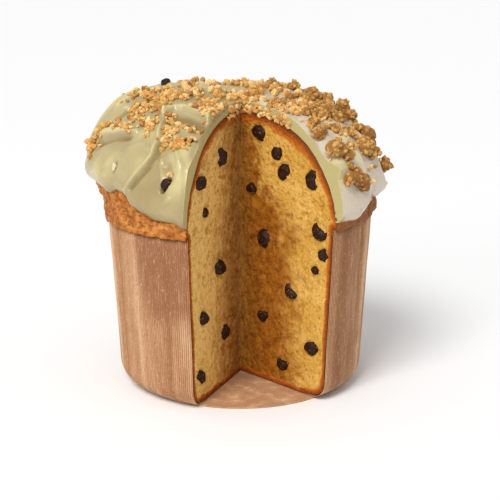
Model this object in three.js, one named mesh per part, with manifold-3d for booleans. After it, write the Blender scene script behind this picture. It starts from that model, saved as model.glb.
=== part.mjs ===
// A glazed chocolate-drop panettone in its paper baking case, with one wedge cut out of the front.
// Units are millimetres and +Z is up. The origin is the centre of the case's underside, and the cut
// faces -Y. An azimuth is measured in degrees round the Z axis, from the front (-Y) towards +X.
import * as THREE from "three";
import { mergeVertices } from "three/addons/utils/BufferGeometryUtils.js";
import Module from "manifold-3d";

const wasm = await Module();
wasm.setup();

// ---------------------------------------------------------------- driving dimensions

const GAP = 0.3; // clearance kept between neighbouring pieces

const CASE = {
  height: 106.5, // mean height of the rim
  rimTilt: 1.8, // the rim stands this much higher on the right than the mean
  rimRadius: 79.0, // inside, at the rim
  baseRadius: 73.2, // inside, just above the rounded foot
  footRadius: 10, // of the corner where the wall turns in
  flangeRadius: 57, // inner edge of the turned-in flange
  floorRadius: 64,
  paper: 0.8,
  flutes: 60,
  fluteDepth: 0.5,
  seamAzimuth: 180, // the lap seam of the wall strip
  seamHalfWidth: 5.5,
};

const CUT = { left: -22, right: 42.5, reach: 160 }; // the missing wedge, its point on the Z axis

// Crust outline above the rim, as [radius, height], from the rim to the crown.
const DOME = [
  [80.3, 107.0],
  [80.6, 115.0],
  [77.6, 127.0],
  [70.0, 140.0],
  [57.0, 153.8],
  [39.0, 162.5],
  [20.0, 166.0],
  [0.0, 166.6],
];

// Where the dough swelled sideways over the rim, and where it rose more than elsewhere.
const SWELLS = [
  { azimuth: -100, spread: 38, amount: 11.5 },
  { azimuth: 95, spread: 34, amount: 2.6 },
  { azimuth: 180, spread: 60, amount: 5.0 },
];
const RISES = [
  { x: -65, y: 30, spreadX: 38, spreadY: 38, amount: 15 },
  { x: 14, y: 36, spreadX: 34, spreadY: 28, amount: 6 },
];
const DROOP = { azimuth: -95, spread: 25, amount: 3.0, least: 0.5 }; // crust hanging over the rim

const GLAZE = {
  thickness: 6.0, // on the shoulder
  crownThickness: 4.4,
  lipThickness: 3.4, // at the lower edge
  clearance: 0.4, // under it, so that its facets stay off the crust's
};
// Thick folds of glaze beside the cut, as azimuth, share of the dome's arc, spreads and height.
const FOLDS = [
  { azimuth: -25, share: 0.32, spread: 9, reach: 0.12, amount: 5.5 },
  { azimuth: 45, share: 0.31, spread: 8, reach: 0.1, amount: 6.0 },
];
// The glaze's lower edge, as [azimuth, share of the dome's arc above the rim].
const GLAZE_EDGE = [
  [-165, 0.12],
  [-140, 0.07],
  [-115, 0.15],
  [-95, 0.15],
  [-78, 0.17],
  [-66, 0.15],
  [-58, 0.18],
  [-48, 0.115],
  [-36, 0.075],
  [-22, 0.05],
  [10, 0.05],
  [43, 0.055],
  [52, 0.045],
  [60, 0.07],
  [67, 0.14],
  [75, 0.1],
  [90, 0.065],
  [110, 0.1],
  [135, 0.05],
  [160, 0.13],
];

// Drops on the cut faces: face, distance from the axis, height, diameter and how far it stands out.
const CUT_DROPS = [
  { face: "right", out: 16, up: 154, size: 12.5, proud: 1.6 },
  { face: "right", out: 31.5, up: 144, size: 9, proud: 1.4 },
  { face: "right", out: 37.5, up: 134.5, size: 12, proud: 1.6 },
  { face: "right", out: 61, up: 133.5, size: 13, proud: 1.2 },
  { face: "right", out: 10, up: 120.5, size: 8.5, proud: 2.0 },
  { face: "right", out: 21.5, up: 90.5, size: 13.5, proud: 2.0 },
  { face: "right", out: 67, up: 103, size: 12.5, proud: 1.6 },
  { face: "right", out: 70.5, up: 90.5, size: 8, proud: 1.2 },
  { face: "right", out: 64, up: 80, size: 6, proud: 1.0 },
  { face: "right", out: 44, up: 62, size: 11, proud: 1.6 },
  { face: "right", out: 20, up: 41, size: 10, proud: 1.6 },
  { face: "right", out: 61, up: 30, size: 11.5, proud: 1.2 },
  { face: "right", out: 37, up: 14, size: 10.5, proud: 1.4 },
  { face: "left", out: 30, up: 143.5, size: 11.5, proud: 3.2 },
  { face: "left", out: 60.5, up: 134, size: 12.5, proud: 2.4 },
  { face: "left", out: 53.5, up: 116, size: 7, proud: 1.2 },
  { face: "left", out: 33, up: 77.5, size: 12, proud: 3.0 },
  { face: "left", out: 58, up: 52, size: 11, proud: 2.0 },
  { face: "left", out: 25, up: 34, size: 10, proud: 2.2 },
  { face: "left", out: 62, up: 18, size: 11, proud: 1.8 },
];
// Drops that show on the dome: azimuth, share of its arc, diameter and depth in the glaze.
const DOME_DROPS = [
  { azimuth: -121, share: 0.57, size: 7, sunk: 1.2 },
  { azimuth: -30.5, share: 0.238, size: 7.5, sunk: 4.2 },
  { azimuth: -28, share: 0.46, size: 7, sunk: 3.4 },
];

// Clusters of crumble on the glaze: azimuth, share of the dome's arc, length, width, height, turn.
const CRUMBLE = [
  [149, 0.67, 9, 5, 4.5, 10],
  [136, 0.64, 5.5, 5, 5, 40],
  [102.6, 0.75, 5, 4.5, 4, 0],
  [68, 0.77, 6, 5, 5, 80],
  [128, 0.59, 6, 5, 5, 20],
  [99.6, 0.67, 8, 7, 6.5, 55],
  [113, 0.58, 13.5, 7, 8.5, 75],
  [92, 0.59, 10.5, 7.5, 8, 15],
  [106, 0.47, 12, 9, 9, 65],
  [71, 0.58, 8, 9, 9, 0],
  [83, 0.51, 8.5, 7.5, 8, 30],
  [62, 0.63, 5, 5, 5, 0],
  [55, 0.56, 6.5, 5, 5, 70],
  [92, 0.42, 5.5, 5, 5, 0],
  [63, 0.48, 6.5, 6, 5.5, 20],
  [72.5, 0.44, 8.5, 7.5, 7, 60],
  [95.5, 0.34, 11.5, 10, 10, 0],
  [89, 0.28, 6.5, 6, 6, 30],
  [76, 0.32, 12.5, 11.5, 9.5, 45],
  [93, 0.19, 11.5, 9.5, 9.5, 80],
  [50, 0.36, 14, 10.5, 9, 25],
  [54.5, 0.21, 12.5, 11.5, 9.5, 10],
  [47.2, 0.23, 6, 5.5, 6, 0],
  [51.5, 0.28, 5, 4.5, 4.5, 0],
  [46, 0.48, 5.5, 5, 5, 30],
  [51, 0.49, 6, 5.5, 5.5, 0],
  [56.5, 0.42, 5, 4.5, 4.5, 50],
  [118, 0.36, 11.5, 9.5, 9, 30],
  [127, 0.24, 9.5, 8, 8, 75],
  [141, 0.47, 12.5, 9, 8.5, 20],
  [151, 0.32, 8.5, 7.5, 7, 0],
  [110, 0.20, 7.5, 6.5, 6.5, 15],
  [166, 0.54, 9.5, 7.5, 7, 60],
];

const AROUND = 60; // facets round the loaf and the glaze
const BANDS = 12; // rows of facets from the crown down to LOWEST, which the loaf and glaze share
const LOWEST = 0.035; // share of the dome's arc

// ---------------------------------------------------------------- helpers

/** 0 below a, 1 above b, and a smooth ramp between them. */
const ramp = (a, b, x) => THREE.MathUtils.smoothstep(x, a, b);

/** Degrees from one azimuth to another, the short way round. */
const turn = (from, to) => THREE.MathUtils.euclideanModulo(to - from + 180, 360) - 180;

/** A bell-shaped weight round an azimuth. */
const near = (azimuth, centre, spread) => Math.exp(-((turn(centre, azimuth) / spread) ** 2));

/** The point at a radius, azimuth and height. */
function polar(radius, azimuth, height) {
  const angle = THREE.MathUtils.degToRad(azimuth);
  return new THREE.Vector3(radius * Math.sin(angle), -radius * Math.cos(angle), height);
}

/** A repeatable pseudo-random number from 0 to 1 for each whole number. */
function scatter(n) {
  const value = Math.sin(n * 127.1 + 11.7) * 43758.5453;
  return value - Math.floor(value);
}

/** A closed geometry as a manifold solid. */
function solidOf(geometry) {
  const bare = geometry.clone();
  bare.deleteAttribute("normal");
  bare.deleteAttribute("uv");
  const merged = mergeVertices(bare, 1e-4);
  const corners = merged.index.array;
  const kept = [];
  for (let i = 0; i < corners.length; i += 3) {
    const [a, b, c] = [corners[i], corners[i + 1], corners[i + 2]];
    if (a !== b && b !== c && c !== a) kept.push(a, b, c);
  }
  const vertProperties = new Float32Array(merged.attributes.position.array);
  const triVerts = new Uint32Array(kept);
  return new wasm.Manifold(new wasm.Mesh({ numProp: 3, vertProperties, triVerts }));
}

/** The largest single body of a manifold solid, as a three.js geometry. */
function geometryOf(solid) {
  const body = solid.decompose().sort((a, b) => b.volume() - a.volume())[0];
  const { vertProperties, triVerts } = body.getMesh();
  const geometry = new THREE.BufferGeometry();
  geometry.setAttribute("position", new THREE.BufferAttribute(vertProperties, 3));
  geometry.setIndex(new THREE.BufferAttribute(triVerts, 1));
  geometry.computeVertexNormals();
  return geometry;
}

/**
 * A lathe whose rings are then put where place(station, azimuth) says. Stations run up the outside,
 * and either start and end on the axis or close on themselves.
 */
function turned(stations, segments, place) {
  const profile = Array.from({ length: stations }, (_, i) => new THREE.Vector2(1, i));
  const geometry = new THREE.LatheGeometry(profile, segments);
  const position = geometry.attributes.position;
  for (let k = 0; k <= segments; k++) {
    for (let i = 0; i < stations; i++) {
      const { x, y, z } = place(i, (360 * (k % segments)) / segments);
      position.setXYZ(k * stations + i, x, y, z);
    }
  }
  return solidOf(geometry);
}

/** The wedge that was cut out, with both faces moved in by inset. */
function wedge(inset = 0) {
  const middle = (CUT.left + CUT.right) / 2;
  const half = THREE.MathUtils.degToRad((CUT.right - CUT.left) / 2);
  const tip = polar(inset / Math.sin(half), middle, 0);
  const corners = [CUT.left, CUT.right].map((side) => polar(CUT.reach, side, 0).add(tip));
  const plan = new THREE.Shape([tip, ...corners].map((p) => new THREE.Vector2(p.x, p.y)));
  const block = new THREE.ExtrudeGeometry(plan, { depth: 2 * CUT.reach, bevelEnabled: false });
  return solidOf(block.translate(0, 0, -CUT.reach / 2));
}

// ---------------------------------------------------------------- the crust's surface

const domeCurve = new THREE.SplineCurve(DOME.map(([r, z]) => new THREE.Vector2(r, z)));
const domeTop = DOME.at(-1)[1];

/** Height of the case's rim at an azimuth. */
function rimHeight(azimuth) {
  return CASE.height + CASE.rimTilt * Math.sin(THREE.MathUtils.degToRad(azimuth));
}

/** A point of the crust's dome: share is 0 at the rim and 1 at the crown. */
function crustPoint(share, azimuth) {
  const { x: radius, y: height } = domeCurve.getPointAt(share);
  const swell = SWELLS.reduce((sum, s) => sum + s.amount * near(azimuth, s.azimuth, s.spread), 0);
  const band = ramp(109, 130, height) * (1 - 0.75 * ramp(140, 168, height));
  const point = polar(share < 1 ? radius + swell * band : 0, azimuth, height);
  for (const { x, y, spreadX, spreadY, amount } of RISES) {
    const bell = Math.exp(-(((point.x - x) / spreadX) ** 2) - ((point.y - y) / spreadY) ** 2);
    point.z += amount * bell * ramp(118, 150, height);
  }
  point.z += (rimHeight(azimuth) - CASE.height) * (1 - ramp(DOME[0][1], 125, height));
  return point;
}

/** The outward direction of the crust at a point of the dome. */
function crustNormal(share, azimuth) {
  if (share > 0.97) return new THREE.Vector3(0, 0, 1);
  const step = 0.01;
  const along = crustPoint(Math.min(share + step, 1), azimuth);
  along.sub(crustPoint(Math.max(share - step, 0), azimuth));
  const across = crustPoint(share, azimuth + 1).sub(crustPoint(share, azimuth - 1));
  return across.cross(along).normalize();
}

/** A point above the crust by a height along its normal. */
function aboveCrust(share, azimuth, height) {
  return crustPoint(share, azimuth).addScaledVector(crustNormal(share, azimuth), height);
}

/** Thickness of the glaze at a point of the dome. */
function glazeThickness(share, azimuth) {
  const plain = THREE.MathUtils.lerp(GLAZE.thickness, GLAZE.crownThickness, ramp(0.6, 1, share));
  return FOLDS.reduce((sum, fold) => {
    const bell = near(azimuth, fold.azimuth, fold.spread);
    return sum + fold.amount * bell * Math.exp(-(((share - fold.share) / fold.reach) ** 2));
  }, plain);
}

/** Share of the dome's arc where the glaze ends, at an azimuth. */
function glazeEdge(azimuth) {
  const ring = GLAZE_EDGE.map(([a, share]) => new THREE.Vector2(turn(CUT.left, a), share));
  ring.sort((a, b) => a.x - b.x);
  const [first, last] = [ring[0], ring.at(-1)];
  const round = [new THREE.Vector2(last.x - 360, last.y), ...ring];
  round.push(new THREE.Vector2(first.x + 360, first.y));
  const x = turn(CUT.left, azimuth);
  const i = round.findIndex((p) => p.x > x);
  const [a, b] = [round[i - 1], round[i]];
  return THREE.MathUtils.lerp(a.y, b.y, ramp(a.x, b.x, x));
}

// ---------------------------------------------------------------- the baking case

/** The wall's inside from the flange to the rim, as stations of radius, height and outward normal. */
function wallStations() {
  const { baseRadius, rimRadius, footRadius, flangeRadius, paper } = CASE;
  const flangeHeight = paper + GAP + paper; // of the inside face, over the floor's sheet
  const stations = [{ radius: flangeRadius, height: flangeHeight, out: 0, down: 1 }];
  const arcSteps = 3;
  for (let i = 0; i <= arcSteps; i++) {
    const angle = (Math.PI / 2) * (i / arcSteps);
    const radius = baseRadius - footRadius * (1 - Math.sin(angle));
    const height = flangeHeight + footRadius * (1 - Math.cos(angle));
    stations.push({ radius, height, out: Math.sin(angle), down: Math.cos(angle) });
  }
  stations.push({ radius: rimRadius, out: 1, down: 0 }); // its height is the rim's
  return stations;
}

/** The fluted wall strip with its turned-in foot and lap seam, cut through with the cake. */
function caseWall() {
  const inside = wallStations();
  const count = inside.length;
  const segments = 2 * CASE.flutes;
  const wall = turned(2 * count + 1, segments, (i, azimuth) => {
    const outer = i >= count && i < 2 * count;
    const station = outer ? inside[i - count] : inside[count - 1 - (i % (2 * count))];
    const height = station.height ?? rimHeight(azimuth);
    const crest = Math.round((azimuth / 360) * segments) % 2 ? 1 : 0;
    const flute = crest * CASE.fluteDepth * station.out;
    const lap = Math.abs(turn(CASE.seamAzimuth, azimuth)) < CASE.seamHalfWidth ? 2 : 1;
    const paper = outer ? CASE.paper * (station.out > 0.5 ? lap : 1) : 0;
    const radius = station.radius + flute + paper * station.out;
    return polar(radius, azimuth, height - paper * station.down);
  });
  return geometryOf(wall.subtract(wedge()));
}

/** The round sheet that the wall's flange is glued down on. */
function caseFloor() {
  const sheet = new THREE.CylinderGeometry(CASE.floorRadius, CASE.floorRadius, CASE.paper, 72);
  return sheet.rotateX(Math.PI / 2).translate(0, 0, CASE.paper / 2);
}

// ---------------------------------------------------------------- the loaf

/** The baked dough, filling the case and domed over its rim, before it is cut. */
function wholeLoaf() {
  const { paper, flangeRadius } = CASE;
  const inside = wallStations();
  const floorTop = paper + GAP;
  const body = inside.map((station) => (azimuth) => {
    const height = station.height ?? rimHeight(azimuth);
    return polar(station.radius - GAP * station.out, azimuth, height + GAP * station.down);
  });
  const rimOutside = CASE.rimRadius + paper + CASE.fluteDepth + GAP;
  const hang = (azimuth) => DROOP.least + DROOP.amount * near(azimuth, DROOP.azimuth, DROOP.spread);
  const lip = [
    (azimuth) => polar(CASE.rimRadius - GAP, azimuth, rimHeight(azimuth) + GAP),
    (azimuth) => polar(rimOutside, azimuth, rimHeight(azimuth) + GAP),
    (azimuth) => polar(rimOutside + 0.1, azimuth, rimHeight(azimuth) + 2 * GAP - hang(azimuth)),
    (azimuth) => polar(rimOutside + 0.8, azimuth, rimHeight(azimuth) + 3 * GAP - hang(azimuth)),
  ];
  const underside = [
    () => polar(0, 0, floorTop),
    (azimuth) => polar(flangeRadius - 2 * GAP, azimuth, floorTop),
    (azimuth) => polar(flangeRadius - GAP, azimuth, floorTop + paper + GAP),
  ];
  const dome = Array.from({ length: BANDS + 1 }, (_, i) => (azimuth) => {
    return crustPoint(THREE.MathUtils.lerp(LOWEST, 1, i / BANDS), azimuth);
  });
  const rows = [...underside, ...body.slice(1), ...lip, ...dome];
  return turned(rows.length, AROUND, (i, azimuth) => rows[i](azimuth));
}

// ---------------------------------------------------------------- the glaze

/** The glaze over the dome, with its outer face raised by extra, before it is cut. */
function wholeGlaze(extra = 0) {
  const stations = 2 * (BANDS + 1);
  return turned(stations, AROUND, (i, azimuth) => {
    const inner = i <= BANDS;
    const down = (inner ? i : stations - 1 - i) / BANDS; // 0 at the crown
    const edge = glazeEdge(azimuth);
    const share = Math.max(THREE.MathUtils.lerp(1, LOWEST, down), edge);
    if (inner) return aboveCrust(share, azimuth, GLAZE.clearance);
    const lip = ramp(edge, edge + 0.09, share);
    const thickness = THREE.MathUtils.lerp(GLAZE.lipThickness, glazeThickness(share, azimuth), lip);
    return aboveCrust(share, azimuth, thickness + extra);
  });
}

// ---------------------------------------------------------------- chocolate drops

/** A baking drop: flat foot, round side and blunt tip. Grown adds to its size all round. */
function drop(size, seed, grown = 0) {
  const outline = [
    [0, -0.3],
    [0.42, -0.3],
    [0.5, -0.1],
    [0.38, 0.16],
    [0.14, 0.34],
    [0, 0.37],
  ];
  const scale = size + 3.4 * grown;
  const profile = outline.map(([r, z]) => new THREE.Vector2(r * scale, z * scale));
  const lathe = new THREE.LatheGeometry(profile, 9);
  const lean = new THREE.Euler(6.28 * scatter(seed), 6.28 * scatter(seed + 50), 0);
  return lathe.applyMatrix4(new THREE.Matrix4().makeRotationFromEuler(lean));
}

/** Where the drops lie: name, centre, size and, on a cut face, how far they stand out of it. */
function dropSites() {
  const inCut = CUT_DROPS.map(({ face, out, up, size, proud }, i) => {
    const side = face === "left" ? -1 : 1;
    const normal = polar(1, CUT[face] + 90 * side, 0); // from the cut face into the crumb
    const centre = polar(out, CUT[face], up).addScaledVector(normal, 0.3 * size - 0.6 * proud);
    return { name: `chocolate_drop_${face}_${i + 1}`, centre, size, proud, seed: i + 1 };
  });
  const onDome = DOME_DROPS.map(({ azimuth, share, size, sunk }, i) => {
    const height = glazeThickness(share, azimuth) + 0.35 * size - sunk;
    const centre = aboveCrust(share, azimuth, height);
    return { name: `chocolate_drop_dome_${i + 1}`, centre, size, seed: 31 + i };
  });
  return [...inCut, ...onDome];
}

/** A drop's solid where it lies. */
function placedDrop({ centre, size, seed }, grown = 0) {
  return solidOf(drop(size, seed, grown).translate(centre.x, centre.y, centre.z));
}

// ---------------------------------------------------------------- crumble

/** One rough ball of crumble with half-sizes a, b and c. */
function lump(a, b, c, detail, seed) {
  const ball = new THREE.IcosahedronGeometry(1, detail).deleteAttribute("uv");
  const geometry = mergeVertices(ball, 1e-4);
  const bare = mergeVertices(geometry.deleteAttribute("normal"), 1e-4);
  const position = bare.attributes.position;
  for (let i = 0; i < position.count; i++) {
    const rough = 0.84 + 0.3 * scatter(seed * 53 + i);
    const [x, y, z] = [position.getX(i), position.getY(i), position.getZ(i)];
    position.setXYZ(i, a * rough * x, b * rough * y, c * rough * z);
  }
  return bare;
}

/** A cluster on the glaze, of one to three lumps, lying on its own patch of the dome. */
function cluster([azimuth, share, length, width, height, spin], seed, grown = 0) {
  const up = crustNormal(share, azimuth);
  const stance = new THREE.Quaternion().setFromUnitVectors(new THREE.Vector3(0, 0, 1), up);
  const twist = new THREE.Quaternion().setFromAxisAngle(up, THREE.MathUtils.degToRad(spin));
  const seat = aboveCrust(share, azimuth, glazeThickness(share, azimuth) + 0.22 * height);
  const placed = new THREE.Matrix4().compose(seat, twist.multiply(stance), new THREE.Vector3(1, 1, 1));
  const parts = length > 11 ? 3 : length > 8.2 ? 2 : 1;
  const shrink = parts > 1 ? 0.72 : 1;
  const lumps = Array.from({ length: parts }, (_, i) => {
    const aside = parts > 1 ? (i / (parts - 1) - 0.5) * length * 0.5 : 0;
    const lift = parts > 2 && i === 1 ? 0.16 * height : 0;
    const size = shrink * (i > 0 ? 0.85 : 1) * (0.95 + 0.25 * scatter(seed * 7 + i));
    const [a, b, c] = [length * size * 0.55, width * size * 0.6, height * size * 0.6];
    const ball = lump(a + grown, b + grown, c + grown, i > 0 ? 0 : 1, seed * 3 + i);
    const sway = (scatter(seed * 11 + i) - 0.5) * 0.4 * width * (parts - 1) * 0.5;
    return solidOf(ball.translate(aside, sway, lift).applyMatrix4(placed));
  });
  return lumps.reduce((whole, ball) => whole.add(ball));
}

// ---------------------------------------------------------------- assembly

const FINISHES = {
  paper: { color: 0xa97b5c, roughness: 0.85 },
  crumb: { color: 0xe2b75a, roughness: 0.9 },
  glaze: { color: 0xd5d2a6, roughness: 0.35 },
  chocolate: { color: 0x2c1712, roughness: 0.4 },
  crumble: { color: 0xbf8240, roughness: 0.85 },
};

/** A named piece with its finish. */
function piece(name, geometry, finish) {
  const material = new THREE.MeshStandardMaterial({ ...FINISHES[finish], metalness: 0 });
  const mesh = new THREE.Mesh(geometry, material);
  mesh.name = name;
  return mesh;
}

const panettone = new THREE.Group();
const drops = dropSites();

panettone.add(piece("case_wall", caseWall(), "paper"));
panettone.add(piece("case_floor", caseFloor(), "paper"));

const pockets = drops.map((site) => placedDrop(site, GAP));
const carved = (solid) => pockets.reduce((rest, pocket) => rest.subtract(pocket), solid);
panettone.add(piece("loaf", geometryOf(carved(wholeLoaf().subtract(wedge()))), "crumb"));
panettone.add(piece("glaze", geometryOf(carved(wholeGlaze().subtract(wedge()))), "glaze"));

for (const site of drops) {
  const whole = placedDrop(site);
  const shown = site.proud ? whole.subtract(wedge(site.proud)) : whole;
  panettone.add(piece(site.name, geometryOf(shown), "chocolate"));
}

const glazeReach = wholeGlaze(GAP);
const laid = [];
CRUMBLE.forEach((spec, i) => {
  const seed = i + 1;
  let solid = cluster(spec, seed).subtract(glazeReach).subtract(wholeLoaf()).subtract(wedge());
  for (const neighbour of [...laid, ...pockets]) solid = solid.subtract(neighbour);
  laid.push(cluster(spec, seed, GAP));
  panettone.add(piece(`crumble_${String(seed).padStart(2, "0")}`, geometryOf(solid), "crumble"));
});

export default panettone;
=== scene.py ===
"""Looks of a glazed chocolate-drop panettone, cut open, in its ribbed paper baking case.

Sizes are in millimetres, and are turned into metres when a mesh is made. An azimuth is in degrees
round the Z axis, from the front (-Y) towards +X. A share is a place on the dome's outline, 0 at the
rim of the case and 1 at the crown.
"""

from __future__ import annotations
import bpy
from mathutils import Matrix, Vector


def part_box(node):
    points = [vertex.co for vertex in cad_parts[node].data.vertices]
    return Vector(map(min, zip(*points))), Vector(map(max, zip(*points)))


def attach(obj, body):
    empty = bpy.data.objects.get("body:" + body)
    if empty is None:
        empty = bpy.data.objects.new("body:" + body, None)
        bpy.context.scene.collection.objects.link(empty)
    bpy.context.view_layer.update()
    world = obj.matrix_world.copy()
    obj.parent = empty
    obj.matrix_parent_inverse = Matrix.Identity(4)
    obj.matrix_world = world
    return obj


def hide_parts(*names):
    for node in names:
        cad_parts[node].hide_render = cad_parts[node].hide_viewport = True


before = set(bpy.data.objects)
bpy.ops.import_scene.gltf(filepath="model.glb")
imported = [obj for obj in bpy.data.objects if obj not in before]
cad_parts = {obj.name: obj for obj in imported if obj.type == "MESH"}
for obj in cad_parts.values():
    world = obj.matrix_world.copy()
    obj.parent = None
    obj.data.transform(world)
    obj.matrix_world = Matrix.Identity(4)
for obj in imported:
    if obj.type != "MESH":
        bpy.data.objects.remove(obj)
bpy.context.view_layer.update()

import logging
import math
import random
from dataclasses import dataclass, field
from enum import Enum
from typing import Iterable, Sequence

import bmesh
import bpy
import numpy as np
from mathutils import Euler, Matrix, Vector, noise

LOG = logging.getLogger("panettone")
MM = 0.001
SAME = 0.004  # closer vertices, in millimetres, are one
SEAM = 0.012  # the same, where patches are sewn
Colour = tuple[float, float, float]


# ------------------------------------------------------------------------------ shared measures


def ramp(low: float, high: float, value: np.ndarray | float) -> np.ndarray:
    """A smooth step from 0 at low to 1 at high.

    Args:
        low: Where the step starts.
        high: Where it ends; it may be below low.
        value: What is measured.

    Returns:
        The step's height at each value.
    """
    part = np.clip((np.asarray(value, float) - low) / (high - low), 0, 1)
    return part * part * (3 - 2 * part)


def between(stretch: tuple[float, float, float, float], value: np.ndarray) -> np.ndarray:
    """A weight that climbs to 1, stays there and falls again.

    Args:
        stretch: Where it begins, is full, starts to fall and ends.
        value: What is measured.

    Returns:
        The weight at each value.
    """
    begin, full, falling, end = stretch
    return ramp(begin, full, value) * ramp(end, falling, value)


def turn(start: np.ndarray | float, end: np.ndarray | float) -> np.ndarray:
    """Degrees from one azimuth to another, the short way round."""
    return (np.asarray(end, float) - start + 180) % 360 - 180


def near(azimuth: np.ndarray, centre: float, spread: float) -> np.ndarray:
    """A bell-shaped weight round an azimuth."""
    return np.exp(-((turn(centre, azimuth) / spread) ** 2))


def polar(radius: np.ndarray, azimuth: np.ndarray, height: np.ndarray) -> np.ndarray:
    """Points at radii, azimuths and heights, one row each."""
    angle = np.radians(azimuth)
    return np.stack(np.broadcast_arrays(radius * np.sin(angle), -radius * np.cos(angle), height), 1)


def rough(points: np.ndarray, size: float, octaves: int = 3, seed: int = 0) -> np.ndarray:
    """Fractal noise, about -1 to 1.

    Args:
        points: Where it is read, one row each, in millimetres.
        size: Size of its broadest lumps.
        octaves: How many finer layers it has.
        seed: Picks one of its patterns.

    Returns:
        One number for each point.
    """
    shift = Vector((17.3 * seed, 5.1 * seed, 9.7 * seed))
    return np.array([noise.fractal(Vector(p) / size + shift, 1.0, 2.0, octaves) for p in points])


def pits(points: np.ndarray, size: float, share: float, seed: int) -> np.ndarray:
    """Round hollows strewn at random, 0 on the plain surface and up to 1 at a hollow's middle.

    Args:
        points: Where they are read, in millimetres.
        size: Mean distance between them.
        share: Part of the places that has one, 0 to 1.
        seed: Picks one of their patterns.

    Returns:
        One depth for each point.
    """
    shift = Vector((3.7 * seed, 11.9 * seed, 7.3 * seed))
    depths = []
    for p in points:
        distances, centres = noise.voronoi(Vector(p) / size + shift)
        middle = centres[0]
        luck = (math.sin(middle.x * 91.7 + middle.y * 47.3 + middle.z * 71.9) * 437.5) % 1
        reach = 0.62 * (0.45 + 0.55 * luck / max(share, 0.01))
        depths.append(0.0 if luck > share else max(0.0, 1 - (distances[0] / reach) ** 2))
    return np.array(depths)


def distance_to(points: np.ndarray, path: np.ndarray) -> np.ndarray:
    """Distance from each point to a path of straight stretches.

    Args:
        points: Where it is measured, one row each.
        path: The corners of the path, one row each.

    Returns:
        One distance for each point.
    """
    best = np.full(len(points), 1e9)
    for start, end in zip(path[:-1], path[1:]):
        along = end - start
        part = np.clip(((points - start) @ along) / max(along @ along, 1e-9), 0, 1)
        best = np.minimum(best, np.linalg.norm(points - start - part[:, None] * along, axis=1))
    return best


# ------------------------------------------------------------------------------ meshes


@dataclass
class Patch:
    """A grid laid over a surface, with what its finish has to know at each vertex.

    Attributes:
        columns: Faces across.
        rows: Faces along.
        points: Vertices in millimetres, row by row.
        fields: A number for each vertex, by attribute name.
    """

    columns: int
    rows: int
    points: np.ndarray
    fields: dict[str, np.ndarray]

    @staticmethod
    def spots(columns: int, rows: int) -> tuple[np.ndarray, np.ndarray]:
        """Each vertex's place across and along the grid, from 0 to 1, row by row."""
        across, along = np.meshgrid(np.linspace(0, 1, columns + 1), np.linspace(0, 1, rows + 1))
        return across.ravel(), along.ravel()

    def laid(self) -> bmesh.types.BMesh:
        """The grid as a bmesh, in metres, with its fields as layers.

        Returns:
            The grid.
        """
        bm = bmesh.new()
        bmesh.ops.create_grid(bm, x_segments=self.columns, y_segments=self.rows, size=0.5)
        layers = {name: bm.verts.layers.float.new(name) for name in self.fields}
        for vert in bm.verts:
            column = round((vert.co.x + 0.5) * self.columns)
            row = round((vert.co.y + 0.5) * self.rows)
            index = row * (self.columns + 1) + column
            vert.co = Vector(self.points[index]) * MM
            for name, layer in layers.items():
                vert[layer] = float(self.fields[name][index])
        return bm


def joined(parts: Iterable[bmesh.types.BMesh]) -> bmesh.types.BMesh:
    """Several bmeshes as one. The parts are freed.

    Args:
        parts: The bmeshes, in order.

    Returns:
        The bmesh that holds them all.
    """
    whole = bmesh.new()
    for part in parts:
        passing = bpy.data.meshes.new("passing")
        part.to_mesh(passing)
        part.free()
        whole.from_mesh(passing)
        bpy.data.meshes.remove(passing)
    return whole


def sewn(bm: bmesh.types.BMesh, slack: float = 0.02, clear: float = 0.01) -> bmesh.types.BMesh:
    """Closes the seams of patches whose open edges lie along each other.

    Args:
        bm: The patches, in metres.
        slack: How far an open vertex may lie from the open edge it is sewn to, in millimetres.
        clear: How far it has to be from the edge's ends.

    Returns:
        The same bmesh, as one skin.
    """
    bmesh.ops.remove_doubles(bm, verts=bm.verts, dist=SAME * MM)
    loose = [edge for edge in bm.edges if edge.is_boundary]
    places = np.array([vert.co for vert in {vert for edge in loose for vert in edge.verts}]) / MM
    for edge in loose:
        vert = edge.verts[0]
        start, end = (np.array(vert.co) / MM for vert in edge.verts)
        length = np.linalg.norm(end - start)
        way = (end - start) / length
        along = (places - start) @ way
        off = np.linalg.norm(places - start - along[:, None] * way, axis=1)
        met = (off < slack) & (along > clear) & (along < length - clear)
        for place in places[met][np.argsort(along[met])]:
            _, vert = bmesh.utils.edge_split(edge, vert, 0.5)
            vert.co = Vector(place) * MM
            edge = max(vert.link_edges, key=lambda e: np.dot(e.other_vert(vert).co - vert.co, way))
    rim = [vert for vert in bm.verts if vert.is_boundary]
    bmesh.ops.remove_doubles(bm, verts=rim, dist=SEAM * MM)
    left = sum(edge.is_boundary for edge in bm.edges)
    LOG.info("sewn: %d open edges before, %d after", len(loose), left)
    return bm


def make_piece(name: str, bm: bmesh.types.BMesh, material: bpy.types.Material) -> bpy.types.Object:
    """A smooth-shaded piece that rides on the part's one body.

    Args:
        name: The piece's name.
        bm: Its mesh, in metres. It is freed.
        material: Its finish.

    Returns:
        The new object.
    """
    mesh = bpy.data.meshes.new(name)
    bmesh.ops.recalc_face_normals(bm, faces=bm.faces)
    for face in bm.faces:
        face.smooth = True
    bm.to_mesh(mesh)
    bm.free()
    mesh.materials.append(material)
    piece = bpy.data.objects.new(name, mesh)
    bpy.context.scene.collection.objects.link(piece)
    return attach(piece, "root")


def cad_copy(node: str) -> bmesh.types.BMesh:
    """A copy of a CAD node's mesh with its loose triangles merged.

    Args:
        node: The node's name.

    Returns:
        The copy, in metres.
    """
    bm = bmesh.new()
    bm.from_mesh(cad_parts[node].data)
    bmesh.ops.remove_doubles(bm, verts=bm.verts, dist=0.02 * MM)
    return bm


def nodes_named(start: str) -> list[str]:
    """The CAD nodes whose names start with some letters, in order."""
    return sorted(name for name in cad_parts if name.startswith(start))


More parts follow.
